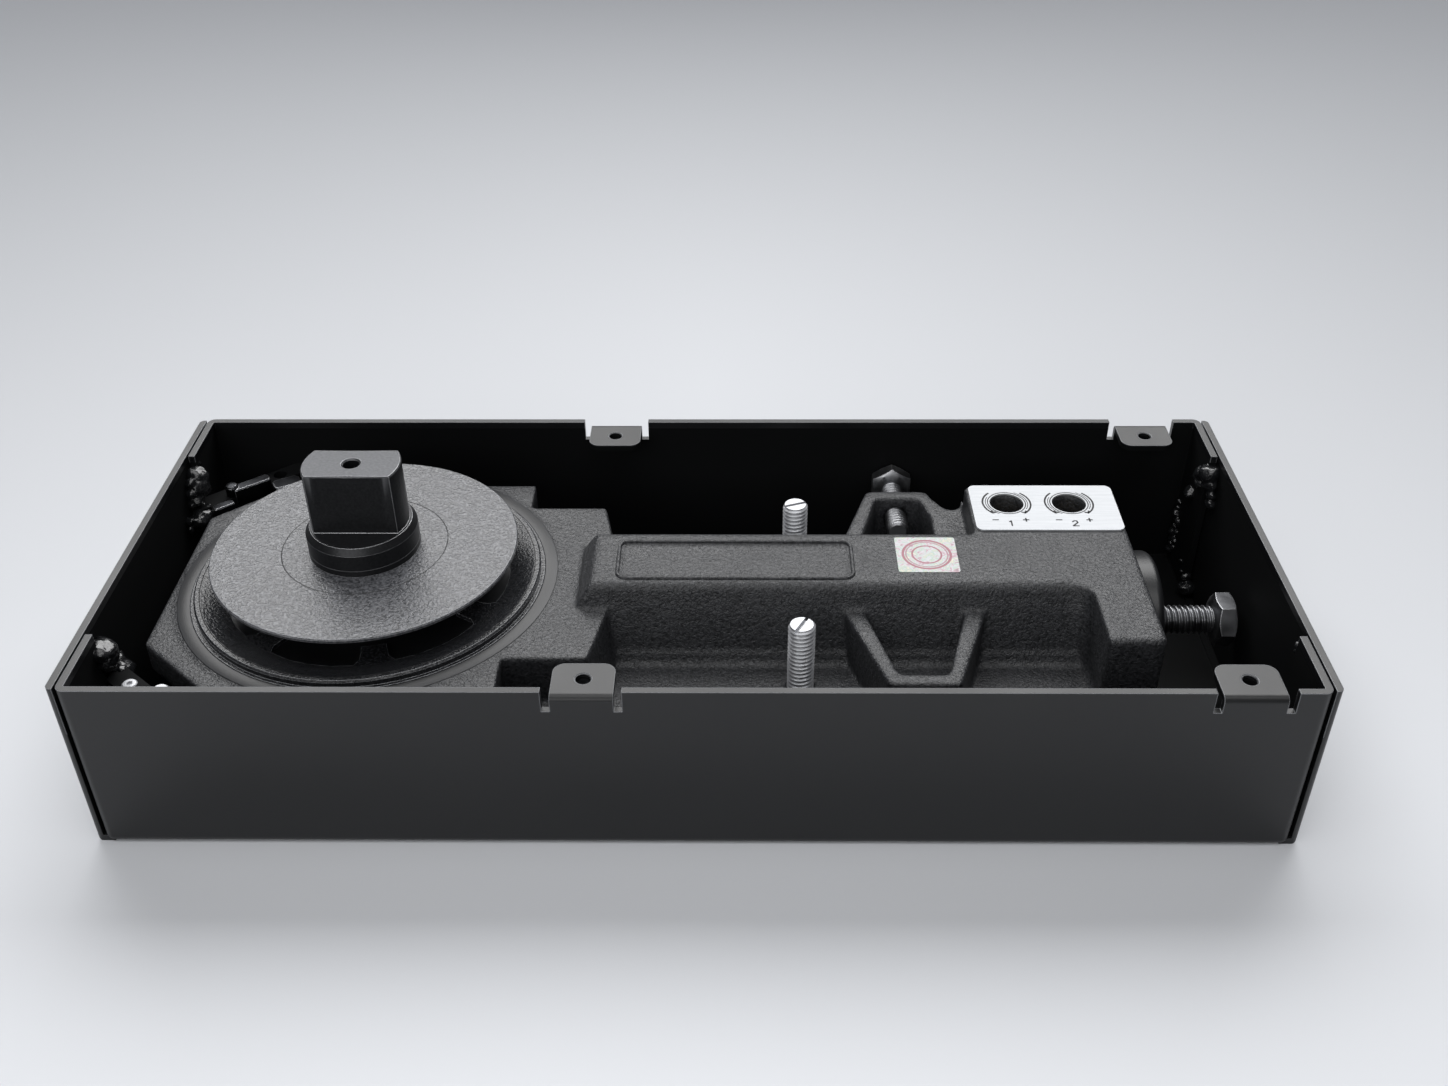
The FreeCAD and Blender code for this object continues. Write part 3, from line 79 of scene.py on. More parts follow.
def blend_colours(tree, amount, first, second):
    """Mixes two colours by a node's output and returns the colour socket."""
    mix = add(tree, "ShaderNodeMix", data_type="RGBA", clamp_factor=True)
    tree.links.new(amount, mix.inputs[0])
    for place, colour in ((6, first), (7, second)):
        if isinstance(colour, bpy.types.NodeSocket):
            tree.links.new(colour, mix.inputs[place])
        else:
            mix.inputs[place].default_value = colour
    return mix.outputs[2]


def new_material(name):
    """An empty node material and its tree."""
    material = bpy.data.materials.new(name)
    material.use_nodes = True
    material.node_tree.nodes.clear()
    return material, material.node_tree


studio, tree = new_material("studio_sweep_with_painted_shade")
where = add(tree, "ShaderNodeTexCoord")
apart = add(tree, "ShaderNodeSeparateXYZ", {"Vector": where.outputs["Object"]})
# Painted shade: the grey darkens with distance behind the box and towards the sweep's sides.
far_shade = add(tree, "ShaderNodeMapRange", {"Value": apart.outputs["Y"], "From Min": -0.12,
                                            "From Max": 0.7})
spread = add(tree, "ShaderNodeMapping", {"Vector": where.outputs["Object"],
                                         "Location": (0.0, -0.1, 0.0), "Scale": (1.5, 0.6, 1.0)})
edge_shade = add(tree, "ShaderNodeTexGradient", {"Vector": spread.outputs[0]},
           gradient_type="SPHERICAL")
near_grey = blend_colours(tree, edge_shade.outputs["Fac"], linear(STUDIO_EDGE_SHADE), linear(STUDIO_GREY))
grey = blend_colours(tree, far_shade.outputs[0], near_grey, linear(STUDIO_FAR_SHADE))
paint = add(tree, "ShaderNodeBsdfPrincipled", {"Base Color": grey, "Roughness": 0.8,
                                               "Specular IOR Level": 0.2})
add(tree, "ShaderNodeOutputMaterial", {"Surface": paint.outputs[0]})
floor_mesh = bpy.data.meshes.new("studio_floor")
floor_mesh.from_pydata([(-4, -4, 0), (4, -4, 0), (4, 4, 0), (-4, 4, 0)], [], [(0, 1, 2, 3)])
studio_floor = bpy.data.objects.new("studio_floor", floor_mesh)
floor_mesh.materials.append(studio)
bpy.context.scene.collection.objects.link(studio_floor)

world = bpy.data.worlds.new("studio_air")
bpy.context.scene.world = world
world.use_nodes = True
world.node_tree.nodes.clear()
air = add(world.node_tree, "ShaderNodeBackground", {"Color": linear("#c9cbd0"), "Strength": 0.14})
add(world.node_tree, "ShaderNodeOutputWorld", {"Surface": air.outputs[0]})


def softbox(name, place, target, width, height, power):
    """A soft rectangular lamp that faces a target, with its power in watts."""
    lamp = bpy.data.lights.new(name, "AREA")
    lamp.shape = "RECTANGLE"
    lamp.size = width
    lamp.size_y = height
    lamp.energy = power
    holder = bpy.data.objects.new(name, lamp)
    holder.location = place
    holder.rotation_euler = (Vector(target) - Vector(place)).to_track_quat("-Z", "Y").to_euler()
    bpy.context.scene.collection.objects.link(holder)


softbox("softbox_behind", (0.0, 1.3, 1.45), (0, 0, 0), 2.6, 1.3, 52)
softbox("softbox_overhead", (-0.1, -0.4, 1.6), (0, 0, 0), 2.0, 1.0, 14)
softbox("fill_front", (-0.5, -1.5, 0.8), (0, 0, 0), 1.6, 0.8, 10)

# Camera. It stands where the photograph's did, solved from the box's corners: a 36.3 mm lens,
# 35.5 degrees down and almost level.
camera = bpy.data.cameras.new("camera")
camera.sensor_fit = "HORIZONTAL"
camera.sensor_width = 36
camera.lens = 36.2986
camera.clip_start = 0.01
yaw, pitch, roll = (math.radians(angle) for angle in (-0.7339, 35.460, -0.370))
ahead = Vector((math.sin(yaw) * math.cos(pitch), math.cos(yaw) * math.cos(pitch), -math.sin(pitch)))
level = Vector((math.cos(yaw), -math.sin(yaw), 0))
upright = level.cross(ahead)
right = math.cos(roll) * level + math.sin(roll) * upright
above = -math.sin(roll) * level + math.cos(roll) * upright
eye = bpy.data.objects.new("camera", camera)
eye.matrix_world = Matrix((
    (right.x, above.x, -ahead.x, 0.011078),
    (right.y, above.y, -ahead.y, -0.316366),
    (right.z, above.z, -ahead.z, 0.274208),
    (0, 0, 0, 1),
))
bpy.context.scene.collection.objects.link(eye)
bpy.context.scene.camera = eye

# Floor box. Folded 1.8 mm steel sheet in satin black powder coat: an even dark film with a fine
# orange peel, lighter along its sheared rims, partly rubbed and partly a painted highlight.
# Inside, a darker, duller coat is painted shade.


def sharp_edge_mask(tree, radius_mm, reach=0.88):
    """A mask that is 1 along sharp edges, where the rounded normal leaves the true one."""
    rounded = add(tree, "ShaderNodeBevel", {"Radius": radius_mm * MM}, samples=6)
    surface = add(tree, "ShaderNodeNewGeometry")
    agree = add(tree, "ShaderNodeVectorMath", {0: rounded.outputs[0],
                                               1: surface.outputs["True Normal"]},
                operation="DOT_PRODUCT")
    mask = add(tree, "ShaderNodeMapRange", {"Value": agree.outputs["Value"], "From Min": 0.99,
                                            "From Max": reach})
    return mask.outputs[0], rounded.outputs[0]


def math_node(tree, operation, first, second=0.0):
    """The result of one sum on numbers or other nodes' outputs."""
    return add(tree, "ShaderNodeMath", {0: first, 1: second}, operation=operation).outputs[0]


LIGHTER_EDGES_ABOVE = 36


def powder_coat(name, shade, wear_and_highlight_colour, rough, peel_mm, peel_depth):
    """A sprayed coat: its colours, its roughness, and the width and depth of its orange peel.
    Edges that stand higher than LIGHTER_EDGES_ABOVE millimetres are painted lighter: partly wear,
    partly painted highlight."""
    material, tree = new_material(name)
    where = add(tree, "ShaderNodeTexCoord")
    soft = add(tree, "ShaderNodeTexNoise",
               {"Vector": where.outputs["Object"], "Scale": 1 / (35.7 * MM), "Detail": 3.0})
    tone = add(tree, "ShaderNodeMapRange", {"Value": soft.outputs["Fac"], "From Min": 0.3,
                                            "From Max": 0.7, "To Min": 0.0, "To Max": 1.0})
    darker = [part * 0.78 for part in linear(shade)[:3]] + [1.0]
    colour = blend_colours(tree, tone.outputs[0], darker, linear(shade))
    haze = add(tree, "ShaderNodeMapRange", {"Value": soft.outputs["Fac"], "From Min": 0.3,
                                            "From Max": 0.7, "To Min": rough - 0.04,
                                            "To Max": rough + 0.05})
    peel = add(tree, "ShaderNodeTexNoise", {"Vector": where.outputs["Object"],
                                            "Scale": 1 / (peel_mm * MM), "Detail": 2.0})
    edge_highlight_and_wear, rounded = sharp_edge_mask(tree, 0.35)
    place = add(tree, "ShaderNodeSeparateXYZ", {"Vector": where.outputs["Object"]})
    high = math_node(tree, "GREATER_THAN", place.outputs["Z"], LIGHTER_EDGES_ABOVE * MM)
    # Painted highlight, partly wear too, on sharp edges above that height.
    colour = blend_colours(tree, math_node(tree, "MULTIPLY", edge_highlight_and_wear, high), colour, linear(wear_and_highlight_colour))
    bump = add(tree, "ShaderNodeBump", {"Height": peel.outputs["Fac"], "Strength": 0.25,
                                        "Distance": peel_depth * MM, "Normal": rounded})
    film = add(tree, "ShaderNodeBsdfPrincipled",
               {"Base Color": colour, "Roughness": haze.outputs[0], "Normal": bump.outputs[0],
                "IOR": 1.5})
    sheet = add(tree, "ShaderNodeOutputMaterial", {"Surface": film.outputs[0]})
    return material, place, film, sheet


def finish(material, *names):
    """Gives CAD nodes their material."""
    for name in names:
        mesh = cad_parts[name].data
        mesh.materials.clear()
        mesh.materials.append(material)


box_coat, place, film, sheet = powder_coat("powder_coat_satin_black", "#0e0f11", "#8d8f93",
                                           0.38, 0.9, 0.05)
tree = box_coat.node_tree
# Painted shade: inside the box a darker, duller coat stands in for shade.
painted_shade_inside = add(tree, "ShaderNodeBsdfPrincipled", {"Base Color": linear("#0a0b0c"), "Roughness": 0.7,
                                             "Specular IOR Level": 0.12})
# What lies within these planes is the inside of the box.
INSIDE_TOP = 48.3
INSIDE_WALLS = (("X", 149.05), ("Y", 60.05))
inside = math_node(tree, "LESS_THAN", place.outputs["Z"], INSIDE_TOP * MM)
for axis, reach in INSIDE_WALLS:
    off_centre = math_node(tree, "ABSOLUTE", place.outputs[axis])
    inside = math_node(tree, "MULTIPLY", inside,
                       math_node(tree, "LESS_THAN", off_centre, reach * MM))
coats = add(tree, "ShaderNodeMixShader", {0: inside, 1: film.outputs[0], 2: painted_shade_inside.outputs[0]})
tree.links.new(coats.outputs[0], sheet.inputs["Surface"])
finish(box_coat, "case_tray", "rear_corner_bar", "front_corner_bar")

# Weld beads and spatter. The end walls and corner bars are tacked from inside with shiny lumps
# of weld metal that the coat has run over.


def show(name, mesh, body, material):
    """Makes a piece of a mesh, on the body that it moves with and in its finish's slot."""
    piece = bpy.data.objects.new(name, mesh)
    mesh.materials.clear()
    mesh.materials.append(material)
    bpy.context.scene.collection.objects.link(piece)
    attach(piece, body)
    return piece


def smooth_mesh(mesh, degrees):
    """Smooth shading with edges sharper than an angle kept crisp."""
    for face in mesh.polygons:
        face.use_smooth = True
    mesh.set_sharp_from_angle(angle=math.radians(degrees))


def bare_mesh(name, form):
    """A plain mesh of a form's points and faces, without normals stored by the CAD."""
    form.verts.index_update()
    mesh = bpy.data.meshes.new(name)
    mesh.from_pydata([vertex.co[:] for vertex in form.verts], [],
                     [[vertex.index for vertex in face.verts] for face in form.faces])
    form.free()
    return mesh


def after_modifiers(name, mesh, modifiers):
    """The mesh that a list of modifiers (type, settings) makes of another."""
    carrier = bpy.data.objects.new(name, mesh)
    bpy.context.scene.collection.objects.link(carrier)
    for kind, settings in modifiers:
        modifier = carrier.modifiers.new(kind, kind)
        for field, value in settings.items():
            setattr(modifier, field, value)
    graph = bpy.context.evaluated_depsgraph_get()
    made = bpy.data.meshes.new_from_object(carrier.evaluated_get(graph))
    made.name = name
    bpy.data.objects.remove(carrier)
    return made


RIPPLES_PER_METRE = 420
FLECKS_PER_METRE = 1300
NOISE_SEED = 4


def weld_bead(name, lumps, seed):
    """Fused lumps of weld metal: each lump is a centre and a radius in millimetres."""
    chance = random.Random(seed)
    form = bmesh.new()
    for x, y, z, radius in lumps:
        stretch = Matrix.Diagonal((chance.uniform(0.8, 1.15), chance.uniform(0.8, 1.15),
                                   chance.uniform(0.7, 1.0), 1.0))
        place = Matrix.Translation(Vector((x, y, z)) * MM) @ stretch
        bmesh.ops.create_icosphere(form, subdivisions=3, radius=radius * MM, matrix=place)
    for vertex in form.verts:
        ripple = noise.noise_vector(vertex.co * RIPPLES_PER_METRE + Vector((seed, 0, 0)))
        fleck = noise.noise_vector(vertex.co * FLECKS_PER_METRE + Vector((0, seed, 0)))
        vertex.co += (ripple * 0.6 + fleck * 0.35) * MM
    mesh = after_modifiers(name, bare_mesh(name, form), [
        ("REMESH", {"mode": "VOXEL", "voxel_size": 0.3 * MM}),
        ("SMOOTH", {"factor": 0.5, "iterations": 2}),
    ])
    smooth_mesh(mesh, 60)
    return show(name, mesh, "case", weld_gloss)


# Without a seed of its own, noise_vector would take one from the clock, and the lumps would
# differ from run to run.
noise.seed_set(NOISE_SEED)
weld_gloss, tree = new_material("weld_metal_under_black_coat")
where = add(tree, "ShaderNodeTexCoord")
scale_marks = add(tree, "ShaderNodeTexNoise", {"Vector": where.outputs["Object"],
                                               "Scale": 1 / (1.11 * MM), "Detail": 3.0})
bump = add(tree, "ShaderNodeBump", {"Height": scale_marks.outputs["Fac"], "Strength": 0.8,
                                    "Distance": 0.35 * MM})
tone = blend_colours(tree, scale_marks.outputs["Fac"], linear("#0b0c0d"), linear("#202123"))
film = add(tree, "ShaderNodeBsdfPrincipled", {"Base Color": tone, "Roughness": 0.22,
                                              "Normal": bump.outputs[0], "IOR": 1.5,
                                              "Coat Weight": 0.6, "Coat Roughness": 0.12})
add(tree, "ShaderNodeOutputMaterial", {"Surface": film.outputs[0]})

for side, name in ((1, "rear"), (-1, "front")):
    weld_bead(f"{name}_left_weld", [
        (-146.6, side * 39.8, 44.4, 3.6), (-146.6, side * 38.4, 41.6, 4.1),
        (-147.4, side * 36.6, 38.4, 2.4), (-147.9, side * 41.6, 40.6, 1.8),
        (-147.7, side * 36.0, 44.2, 1.6), (-148.0, side * 35.4, 41.0, 1.7),
        (-148.0, side * 34.8, 37.4, 1.2), (-147.4, side * 43.4, 46.6, 0.9),
    ], 3 + side)
    weld_bead(f"{name}_bar_weld", [
        (-145.9, side * 34.6, 33.6, 3.4), (-147.0, side * 32.2, 33.6, 2.3),
        (-147.8, side * 30.2, 34.8, 1.3), (-147.9, side * 29.6, 32.4, 1.1),
        (-144.6, side * 36.8, 35.6, 1.3), (-146.2, side * 37.6, 35.6, 1.0),
    ], 7 + side)
    if side < 0:
        weld_bead("front_right_weld", [(147.9, -39.4, 46.2, 1.5), (148.2, -38.6, 44.0, 1.1)], 9)
        continue
    weld_bead(f"{name}_right_weld", [
        (146.9, side * 39.9, 45.2, 3.2), (147.2, side * 38.9, 42.4, 3.0),
        (147.8, side * 37.7, 39.4, 2.0), (148.0, side * 37.2, 36.8, 1.8),
        (148.1, side * 38.4, 35.2, 1.3), (147.6, side * 42.6, 46.6, 1.2),
    ], 11 + side)
    weld_bead(f"{name}_flange_weld", [
        (147.0, side * 46.0, 41.6, 2.8), (147.0, side * 47.4, 39.0, 2.4),
        (146.9, side * 45.6, 38.4, 2.0), (146.0, side * 49.7, 32.4, 2.1),
        (146.4, side * 43.8, 44.8, 0.7), (146.2, side * 44.6, 42.6, 0.7),
        (146.2, side * 45.0, 40.4, 0.6),
    ], 17 + side)
    weld_bead(f"{name}_seam_weld", [
        (146.4, side * 57.6, 24 - 2.3 * step, 0.9 + 0.35 * (step % 3)) for step in range(9)
    ] + [(146.6, side * 55.6, 17 - 3.1 * step, 1.2) for step in range(4)], 29 + side)
    weld_bead(f"{name}_foot_weld", [
        (147.0, side * 38.8, 4.8, 2.7), (146.9, side * 40.2, 7.8, 1.5),
        (146.4, side * 43.6, 7.2, 1.0), (146.4, side * 45.4, 9.8, 1.0),
    ], 23 + side)

# Screws in the corner bars. The front pair are bright zinc. The rear pair have been run over with
# black coat and stand under two flat lugs.


def zinc_plate(name, pale, dark, rough, metallic=1.0):
    """Plated steel: a silver that hazes in cloudy patches, with a painted highlight along its
    edges.
    """
    material, tree = new_material(name)
    where = add(tree, "ShaderNodeTexCoord")
    cloud = add(tree, "ShaderNodeTexNoise", {"Vector": where.outputs["Object"], "Detail": 4.0,
                                             "Scale": 1 / (3.85 * MM)})
    colour = blend_colours(tree, cloud.outputs["Fac"], linear(dark), linear(pale))
    edge_highlight_and_wear, rounded = sharp_edge_mask(tree, 0.3)
    # Painted highlight along the sharp edges.
    colour = blend_colours(tree, edge_highlight_and_wear, colour, linear("#d6d7da"))
    haze = add(tree, "ShaderNodeMapRange", {"Value": cloud.outputs["Fac"], "From Min": 0.3,
                                            "From Max": 0.7, "To Min": rough - 0.06,
                                            "To Max": rough + 0.1})
    metal = add(tree, "ShaderNodeBsdfPrincipled", {"Base Color": colour, "Metallic": metallic,
                                                   "Roughness": haze.outputs[0],
                                                   "Normal": rounded})
    add(tree, "ShaderNodeOutputMaterial", {"Surface": metal.outputs[0]})
    return material


bright_zinc = zinc_plate("bright_zinc_plate", "#d2d3d6", "#9fa1a6", 0.38, 0.55)
bolt_steel = zinc_plate("oiled_bolt_steel", "#8c8d90", "#5a5b5e", 0.36)
# The side bolts get a paler steel than the end bolt.
side_bolt_steel = zinc_plate("paler_side_bolt_steel", "#b4b5b8", "#7e7f82", 0.36)
finish(bright_zinc, "front_grub_screw")


def loft(rings, capped=True):
    """A mesh through closed rings of points, in metres, with its ends closed."""
    count = len(rings[0])
    points = [point for ring in rings for point in ring]
    faces = []
    for row in range(len(rings) - 1):
        for column in range(count):
            after = (column + 1) % count
            faces.append((row * count + column, row * count + after,
                          (row + 1) * count + after, (row + 1) * count + column))
    if capped:
        faces.append(tuple(reversed(range(count))))
        faces.append(tuple(range((len(rings) - 1) * count, len(rings) * count)))
    mesh = bpy.data.meshes.new("loft")
    mesh.from_pydata(points, [], faces)
    mesh.validate()
    return mesh


def around(radius, height, columns=48):
    """One ring about +Z; radius is a number or a function of the angle."""
    ring = []
    for column in range(columns):
        angle = 2 * math.pi * column / columns
        reach = radius(angle) if callable(radius) else radius
        tall = height(angle) if callable(height) else height
        ring.append(Vector((reach * math.cos(angle), reach * math.sin(angle), tall)) * MM)
    return ring


def thread_rings(radius, depth, pitch, low, high, chamfer):
    """Rings of a rolled screw thread about +Z, with both ends chamfered into the root."""
    rings = []
    rows = int((high - low) / pitch * 12)
    for row in range(rows + 1):
        height = low + (high - low) * row / rows
        lead = min(height - low, high - height)
        limit = radius - max(0.0, chamfer - lead)

        def reach(angle, height=height, limit=limit):
            turn = 2 * math.pi * height / pitch - angle
            return min(limit, radius - depth * (0.5 - 0.5 * math.cos(turn)) ** 0.8)
        rings.append(around(reach, height))
    return rings


def place_mesh(mesh, place, turn=None):
    """Moves a mesh's points to where the piece stands, in millimetres."""
    mesh.transform(Matrix.Translation(Vector(place) * MM) @ (turn or Matrix.Identity(4)))
    return mesh


def cut_slot(mesh, top, width, depth, degrees):
    """Cuts a screwdriver slot across the top of a mesh that stands on +Z."""
    form = bmesh.new()
    size = Matrix.Diagonal((20 * MM, width * MM, 2 * depth * MM, 1))
    turn = Matrix.Rotation(math.radians(degrees), 4, "Z")
    bmesh.ops.create_cube(form, size=1, matrix=Matrix.Translation((0, 0, top * MM)) @ turn @ size)
    blade_mesh = bare_mesh("slot", form)
    blade = bpy.data.objects.new("slot", blade_mesh)
    bpy.context.scene.collection.objects.link(blade)
    cut = after_modifiers("slotted", mesh, [
        ("BOOLEAN", {"operation": "DIFFERENCE", "solver": "EXACT", "object": blade})])
    bpy.data.objects.remove(blade)
    return cut


# Front cap screw. A turned steel screw in bright zinc, driven down until its flat end stands
# just under the rim of the box.
cap = loft([around(2.9, 29), around(2.9, 33.6), around(2.0, 33.8), around(2.0, 35.8),
            around(1.6, 36.2), around(0.7, 36.2), around(0.6, 35.6)])
place_mesh(cap, (-140.47, -42.46, 0))
smooth_mesh(cap, 30)
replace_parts(show("front_screw_end", cap, "case", bright_zinc), "front_cap_screw")

# Lugs over the rear bar's screws. Flat plates and a round pin, run over with black coat, lying
# along the bar.


def add_block(form, first, second):
    """Adds a closed block between two rings of corners in millimetres."""
    rings = [[form.verts.new(Vector(corner) * MM) for corner in ring] for ring in (first, second)]
    form.faces.new(reversed(rings[0]))
    form.faces.new(rings[1])
    for number in range(len(first)):
        after = (number + 1) % len(first)
        form.faces.new((rings[0][number], rings[0][after], rings[1][after], rings[1][number]))


def rounded_rectangle(left, right, front, rear, radius, height):
    """A closed path of points round a rectangle with rounded corners."""
    path = []
    corners = ((right - radius, rear - radius, 0), (left + radius, rear - radius, 90),
               (left + radius, front + radius, 180), (right - radius, front + radius, 270))
    for x, y, start in corners:
        for step in range(7):
            angle = math.radians(start + 15 * step)
            path.append((x + radius * math.cos(angle), y + radius * math.sin(angle), height))
    return path


def plate_outline(x, y, long, wide, degrees):
    """An oblong with round corners, turned about its centre."""
    turned = math.radians(degrees)
    outline = []
    for point in rounded_rectangle(-long / 2, long / 2, -wide / 2, wide / 2, wide * 0.3, 0):
        outline.append((x + point[0] * math.cos(turned) - point[1] * math.sin(turned),
                        y + point[0] * math.sin(turned) + point[1] * math.cos(turned)))
    return outline


lug_coat = zinc_plate("coated_lug_steel", "#3a3b3e", "#1c1d1f", 0.34)
LUG_FOOT, LUG_CHAMFER = 33, 0.3
for name, (x, y, long, wide, degrees, top), replaced in (
        ("rear_pin_lug", (-133.8, 45.6, 11.4, 3.4, 38, 38.4), "rear_cap_screw"),
        ("rear_round_lug", (-124.0, 47.8, 8.2, 5.0, 30, 37.2), "rear_grub_screw"),
        ("rear_low_lug", (-139.8, 36.4, 6.4, 2.8, 38, 36.6), None)):
    form = bmesh.new()
    outline = plate_outline(x, y, long, wide, degrees)
    inner = plate_outline(x, y, long - 2 * LUG_CHAMFER, wide - 2 * LUG_CHAMFER, degrees)
    for low, high, first, second in ((LUG_FOOT, top - LUG_CHAMFER, outline, outline),
                                     (top - LUG_CHAMFER, top, outline, inner)):
        add_block(form, [(a, b, low) for a, b in first], [(a, b, high) for a, b in second])
    if replaced == "rear_cap_screw":
        pin = loft([around(1.9, 34), around(1.9, 38.9), around(1.4, 39.4), around(0.5, 39.6)])
        place_mesh(pin, (-138.6, 42.6, 0))
        form.from_mesh(pin)
    lug_mesh = bare_mesh(name, form)
    smooth_mesh(lug_mesh, 30)
    lug = show(name, lug_mesh, "case", lug_coat)
    if replaced:
        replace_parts(lug, replaced)

# Threads in the lid tabs' holes. M5 threads cut right through the sheet, before the box was
# coated, for the screws that hold the cover.
TAB_HOLES = ((130.9, -55), (-25.7, -55), (130.9, 55), (-25.7, 55))
TAB_UNDERSIDE, TAB_TOP = 47.1, 48.7
THREAD_ROWS = 25


def tab_thread(angle, height):
    """The thread's radius in its hole: 0.8 mm to the turn and 0.36 mm deep."""
    phase = (height / 0.8 - angle / (2 * math.pi)) % 1.0
    return 1.72 + 0.36 * abs(phase - 0.5) * 2


for number, (x, y) in enumerate(TAB_HOLES):
    rings = [around(2.11, TAB_UNDERSIDE)]
    for row in range(THREAD_ROWS + 1):
        height = TAB_UNDERSIDE + (TAB_TOP - TAB_UNDERSIDE) * row / THREAD_ROWS
        rings.append(around(lambda angle, height=height: tab_thread(angle, height), height))
    rings.append(around(2.11, TAB_TOP))
    thread = place_mesh(loft(rings, capped=False), (x, y, 0))
    smooth_mesh(thread, 50)
    show(f"tab_thread_{number + 1}", thread, "case", box_coat)

# Levelling studs. Steel studs in bright zinc, 7 mm thick, with a rolled thread over their whole
# length and a screwdriver slot on top. They carry the unit and set its height in the box.
STUD_RADIUS, STUD_LENGTH = 3.55, 41.2
THREAD_DEPTH, THREAD_PITCH = 0.62, 1.27
for side, name in ((1, "rear"), (-1, "front")):
    stud = loft(thread_rings(STUD_RADIUS, THREAD_DEPTH, THREAD_PITCH, 0, STUD_LENGTH, 0.6))
    stud = cut_slot(stud, STUD_LENGTH, 0.9, 1.3, 62 if side < 0 else 20)
    place_mesh(stud, (27, side * 27.2, 1.8))
    smooth_mesh(stud, 30)
    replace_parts(show(f"{name}_stud_thread", stud, f"{name}_levelling_stud",
                     bright_zinc), f"{name}_levelling_stud")

# Adjusting bolts. Steel hexagon bolts with an oily grey-black finish, forged heads with a turned
# chamfer and a rolled thread: two small ones at the sides and a larger one at the end.


def hexagon_bolt(length, radius, flats, tall):
    """A bolt that stands on +Z, thread below and head on top: the length under its head, its
    thread's radius, and its head's width over flats and height."""
    def hexagon(angle):
        return flats / 2 / math.cos((angle + math.pi / 6) % (math.pi / 3) - math.pi / 6)

    def chamfered(height, direction):
        return lambda angle: height - direction * max(
            0.0, hexagon(angle) - flats * 0.475) * math.tan(math.radians(28))

    rings = thread_rings(radius, 0.19 * radius, 0.39 * radius, -length, -0.2, 0.8)
    rings += [
        around(radius * 0.98, -0.15), around(flats * 0.45, 0.0),
        around(hexagon, chamfered(0.25, -1)), around(hexagon, chamfered(tall, 1)),
        around(flats * 0.475, tall), around(flats * 0.3, tall - 0.15),
    ]
    return loft(rings)


# A bolt's thread radius, and its head's width over flats and height.
SMALL_BOLT = (3.25, 11.4, 4.4)
LARGE_BOLT = (3.95, 13.0, 5.3)
for name, length, sizes, place, turn in (
        ("rear_side_bolt", 22.5, SMALL_BOLT, (57.2, 54.5, 30), (-90, "X")),
        ("front_side_bolt", 17, SMALL_BOLT, (57.2, -54.5, 30), (90, "X")),
        ("end_bolt", 30, LARGE_BOLT, (141, 0, 23.2), (90, "Y"))):
    turned = Matrix.Rotation(math.radians(turn[0]), 4, turn[1])
    bolt = place_mesh(hexagon_bolt(length, *sizes), place, turned)
    smooth_mesh(bolt, 30)
    steel = side_bolt_steel if sizes is SMALL_BOLT else bolt_steel
    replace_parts(show(f"{name}_thread", bolt, name, steel), name)

# Paint on turned faces. Black stove paint, smoother than on the casting, because a machined
# surface lies under it: long soft highlights with a faint peel.
turned_coat = powder_coat("black_paint_on_turned_iron", "#18191b", "#77797c", 0.36, 1.6, 0.04)[0]

# Housing. Sand-cast iron under black stove paint: the casting as the mould left it, with rolled
# edges and fillets in its corners. The paint hides little of its millimetre grain.
cast_paint, tree = new_material("black_paint_on_sand_cast_iron")
where = add(tree, "ShaderNodeTexCoord")
wrinkle = add(tree, "ShaderNodeTexNoise", {"Vector": where.outputs["Object"], "Detail": 2.5,
                                           "Scale": 1 / (0.87 * MM), "Roughness": 0.6,
                                           "Distortion": 0.6})
grain = add(tree, "ShaderNodeTexNoise", {"Vector": where.outputs["Object"], "Detail": 2.0,
                                         "Scale": 1 / (0.476 * MM)})
swell = add(tree, "ShaderNodeTexNoise", {"Vector": where.outputs["Object"], "Detail": 3.0,
                                         "Scale": 1 / (16.7 * MM)})
coarse = add(tree, "ShaderNodeBump", {"Height": swell.outputs["Fac"], "Strength": 0.4,
                                      "Distance": 1.2 * MM})
leather = add(tree, "ShaderNodeBump", {"Height": wrinkle.outputs["Fac"], "Strength": 0.9,
                                       "Distance": 0.42 * MM, "Normal": coarse.outputs[0]})
fine = add(tree, "ShaderNodeBump", {"Height": grain.outputs["Fac"], "Strength": 0.6,
                                    "Distance": 0.2 * MM, "Normal": leather.outputs[0]})
tone = add(tree, "ShaderNodeMapRange", {"Value": wrinkle.outputs["Fac"], "From Min": 0.35,
                                        "From Max": 0.7})
colour = blend_colours(tree, tone.outputs[0], linear("#1d1e20"), linear("#404144"))
haze = add(tree, "ShaderNodeMapRange", {"Value": swell.outputs["Fac"], "From Min": 0.3,
                                        "From Max": 0.7, "To Min": 0.34, "To Max": 0.45})
film = add(tree, "ShaderNodeBsdfPrincipled", {"Base Color": colour, "Normal": fine.outputs[0],
                                              "Roughness": haze.outputs[0], "IOR": 1.5})
add(tree, "ShaderNodeOutputMaterial", {"Surface": film.outputs[0]})


def corner_fill(across, along, side_across, side_along, radius, sunk=2.0):
    """The outline that fills an inside corner with a concave quarter round."""
    outline = [(across - side_across * sunk, along - side_along * sunk),
               (across + side_across * radius, along - side_along * sunk)]
    for step in range(7):
        angle = math.radians(15 * step)
        outline.append((across + side_across * radius * (1 - math.sin(angle)),
                        along + side_along * radius * (1 - math.cos(angle))))
    outline.append((across - side_across * sunk, along + side_along * radius))
    return outline


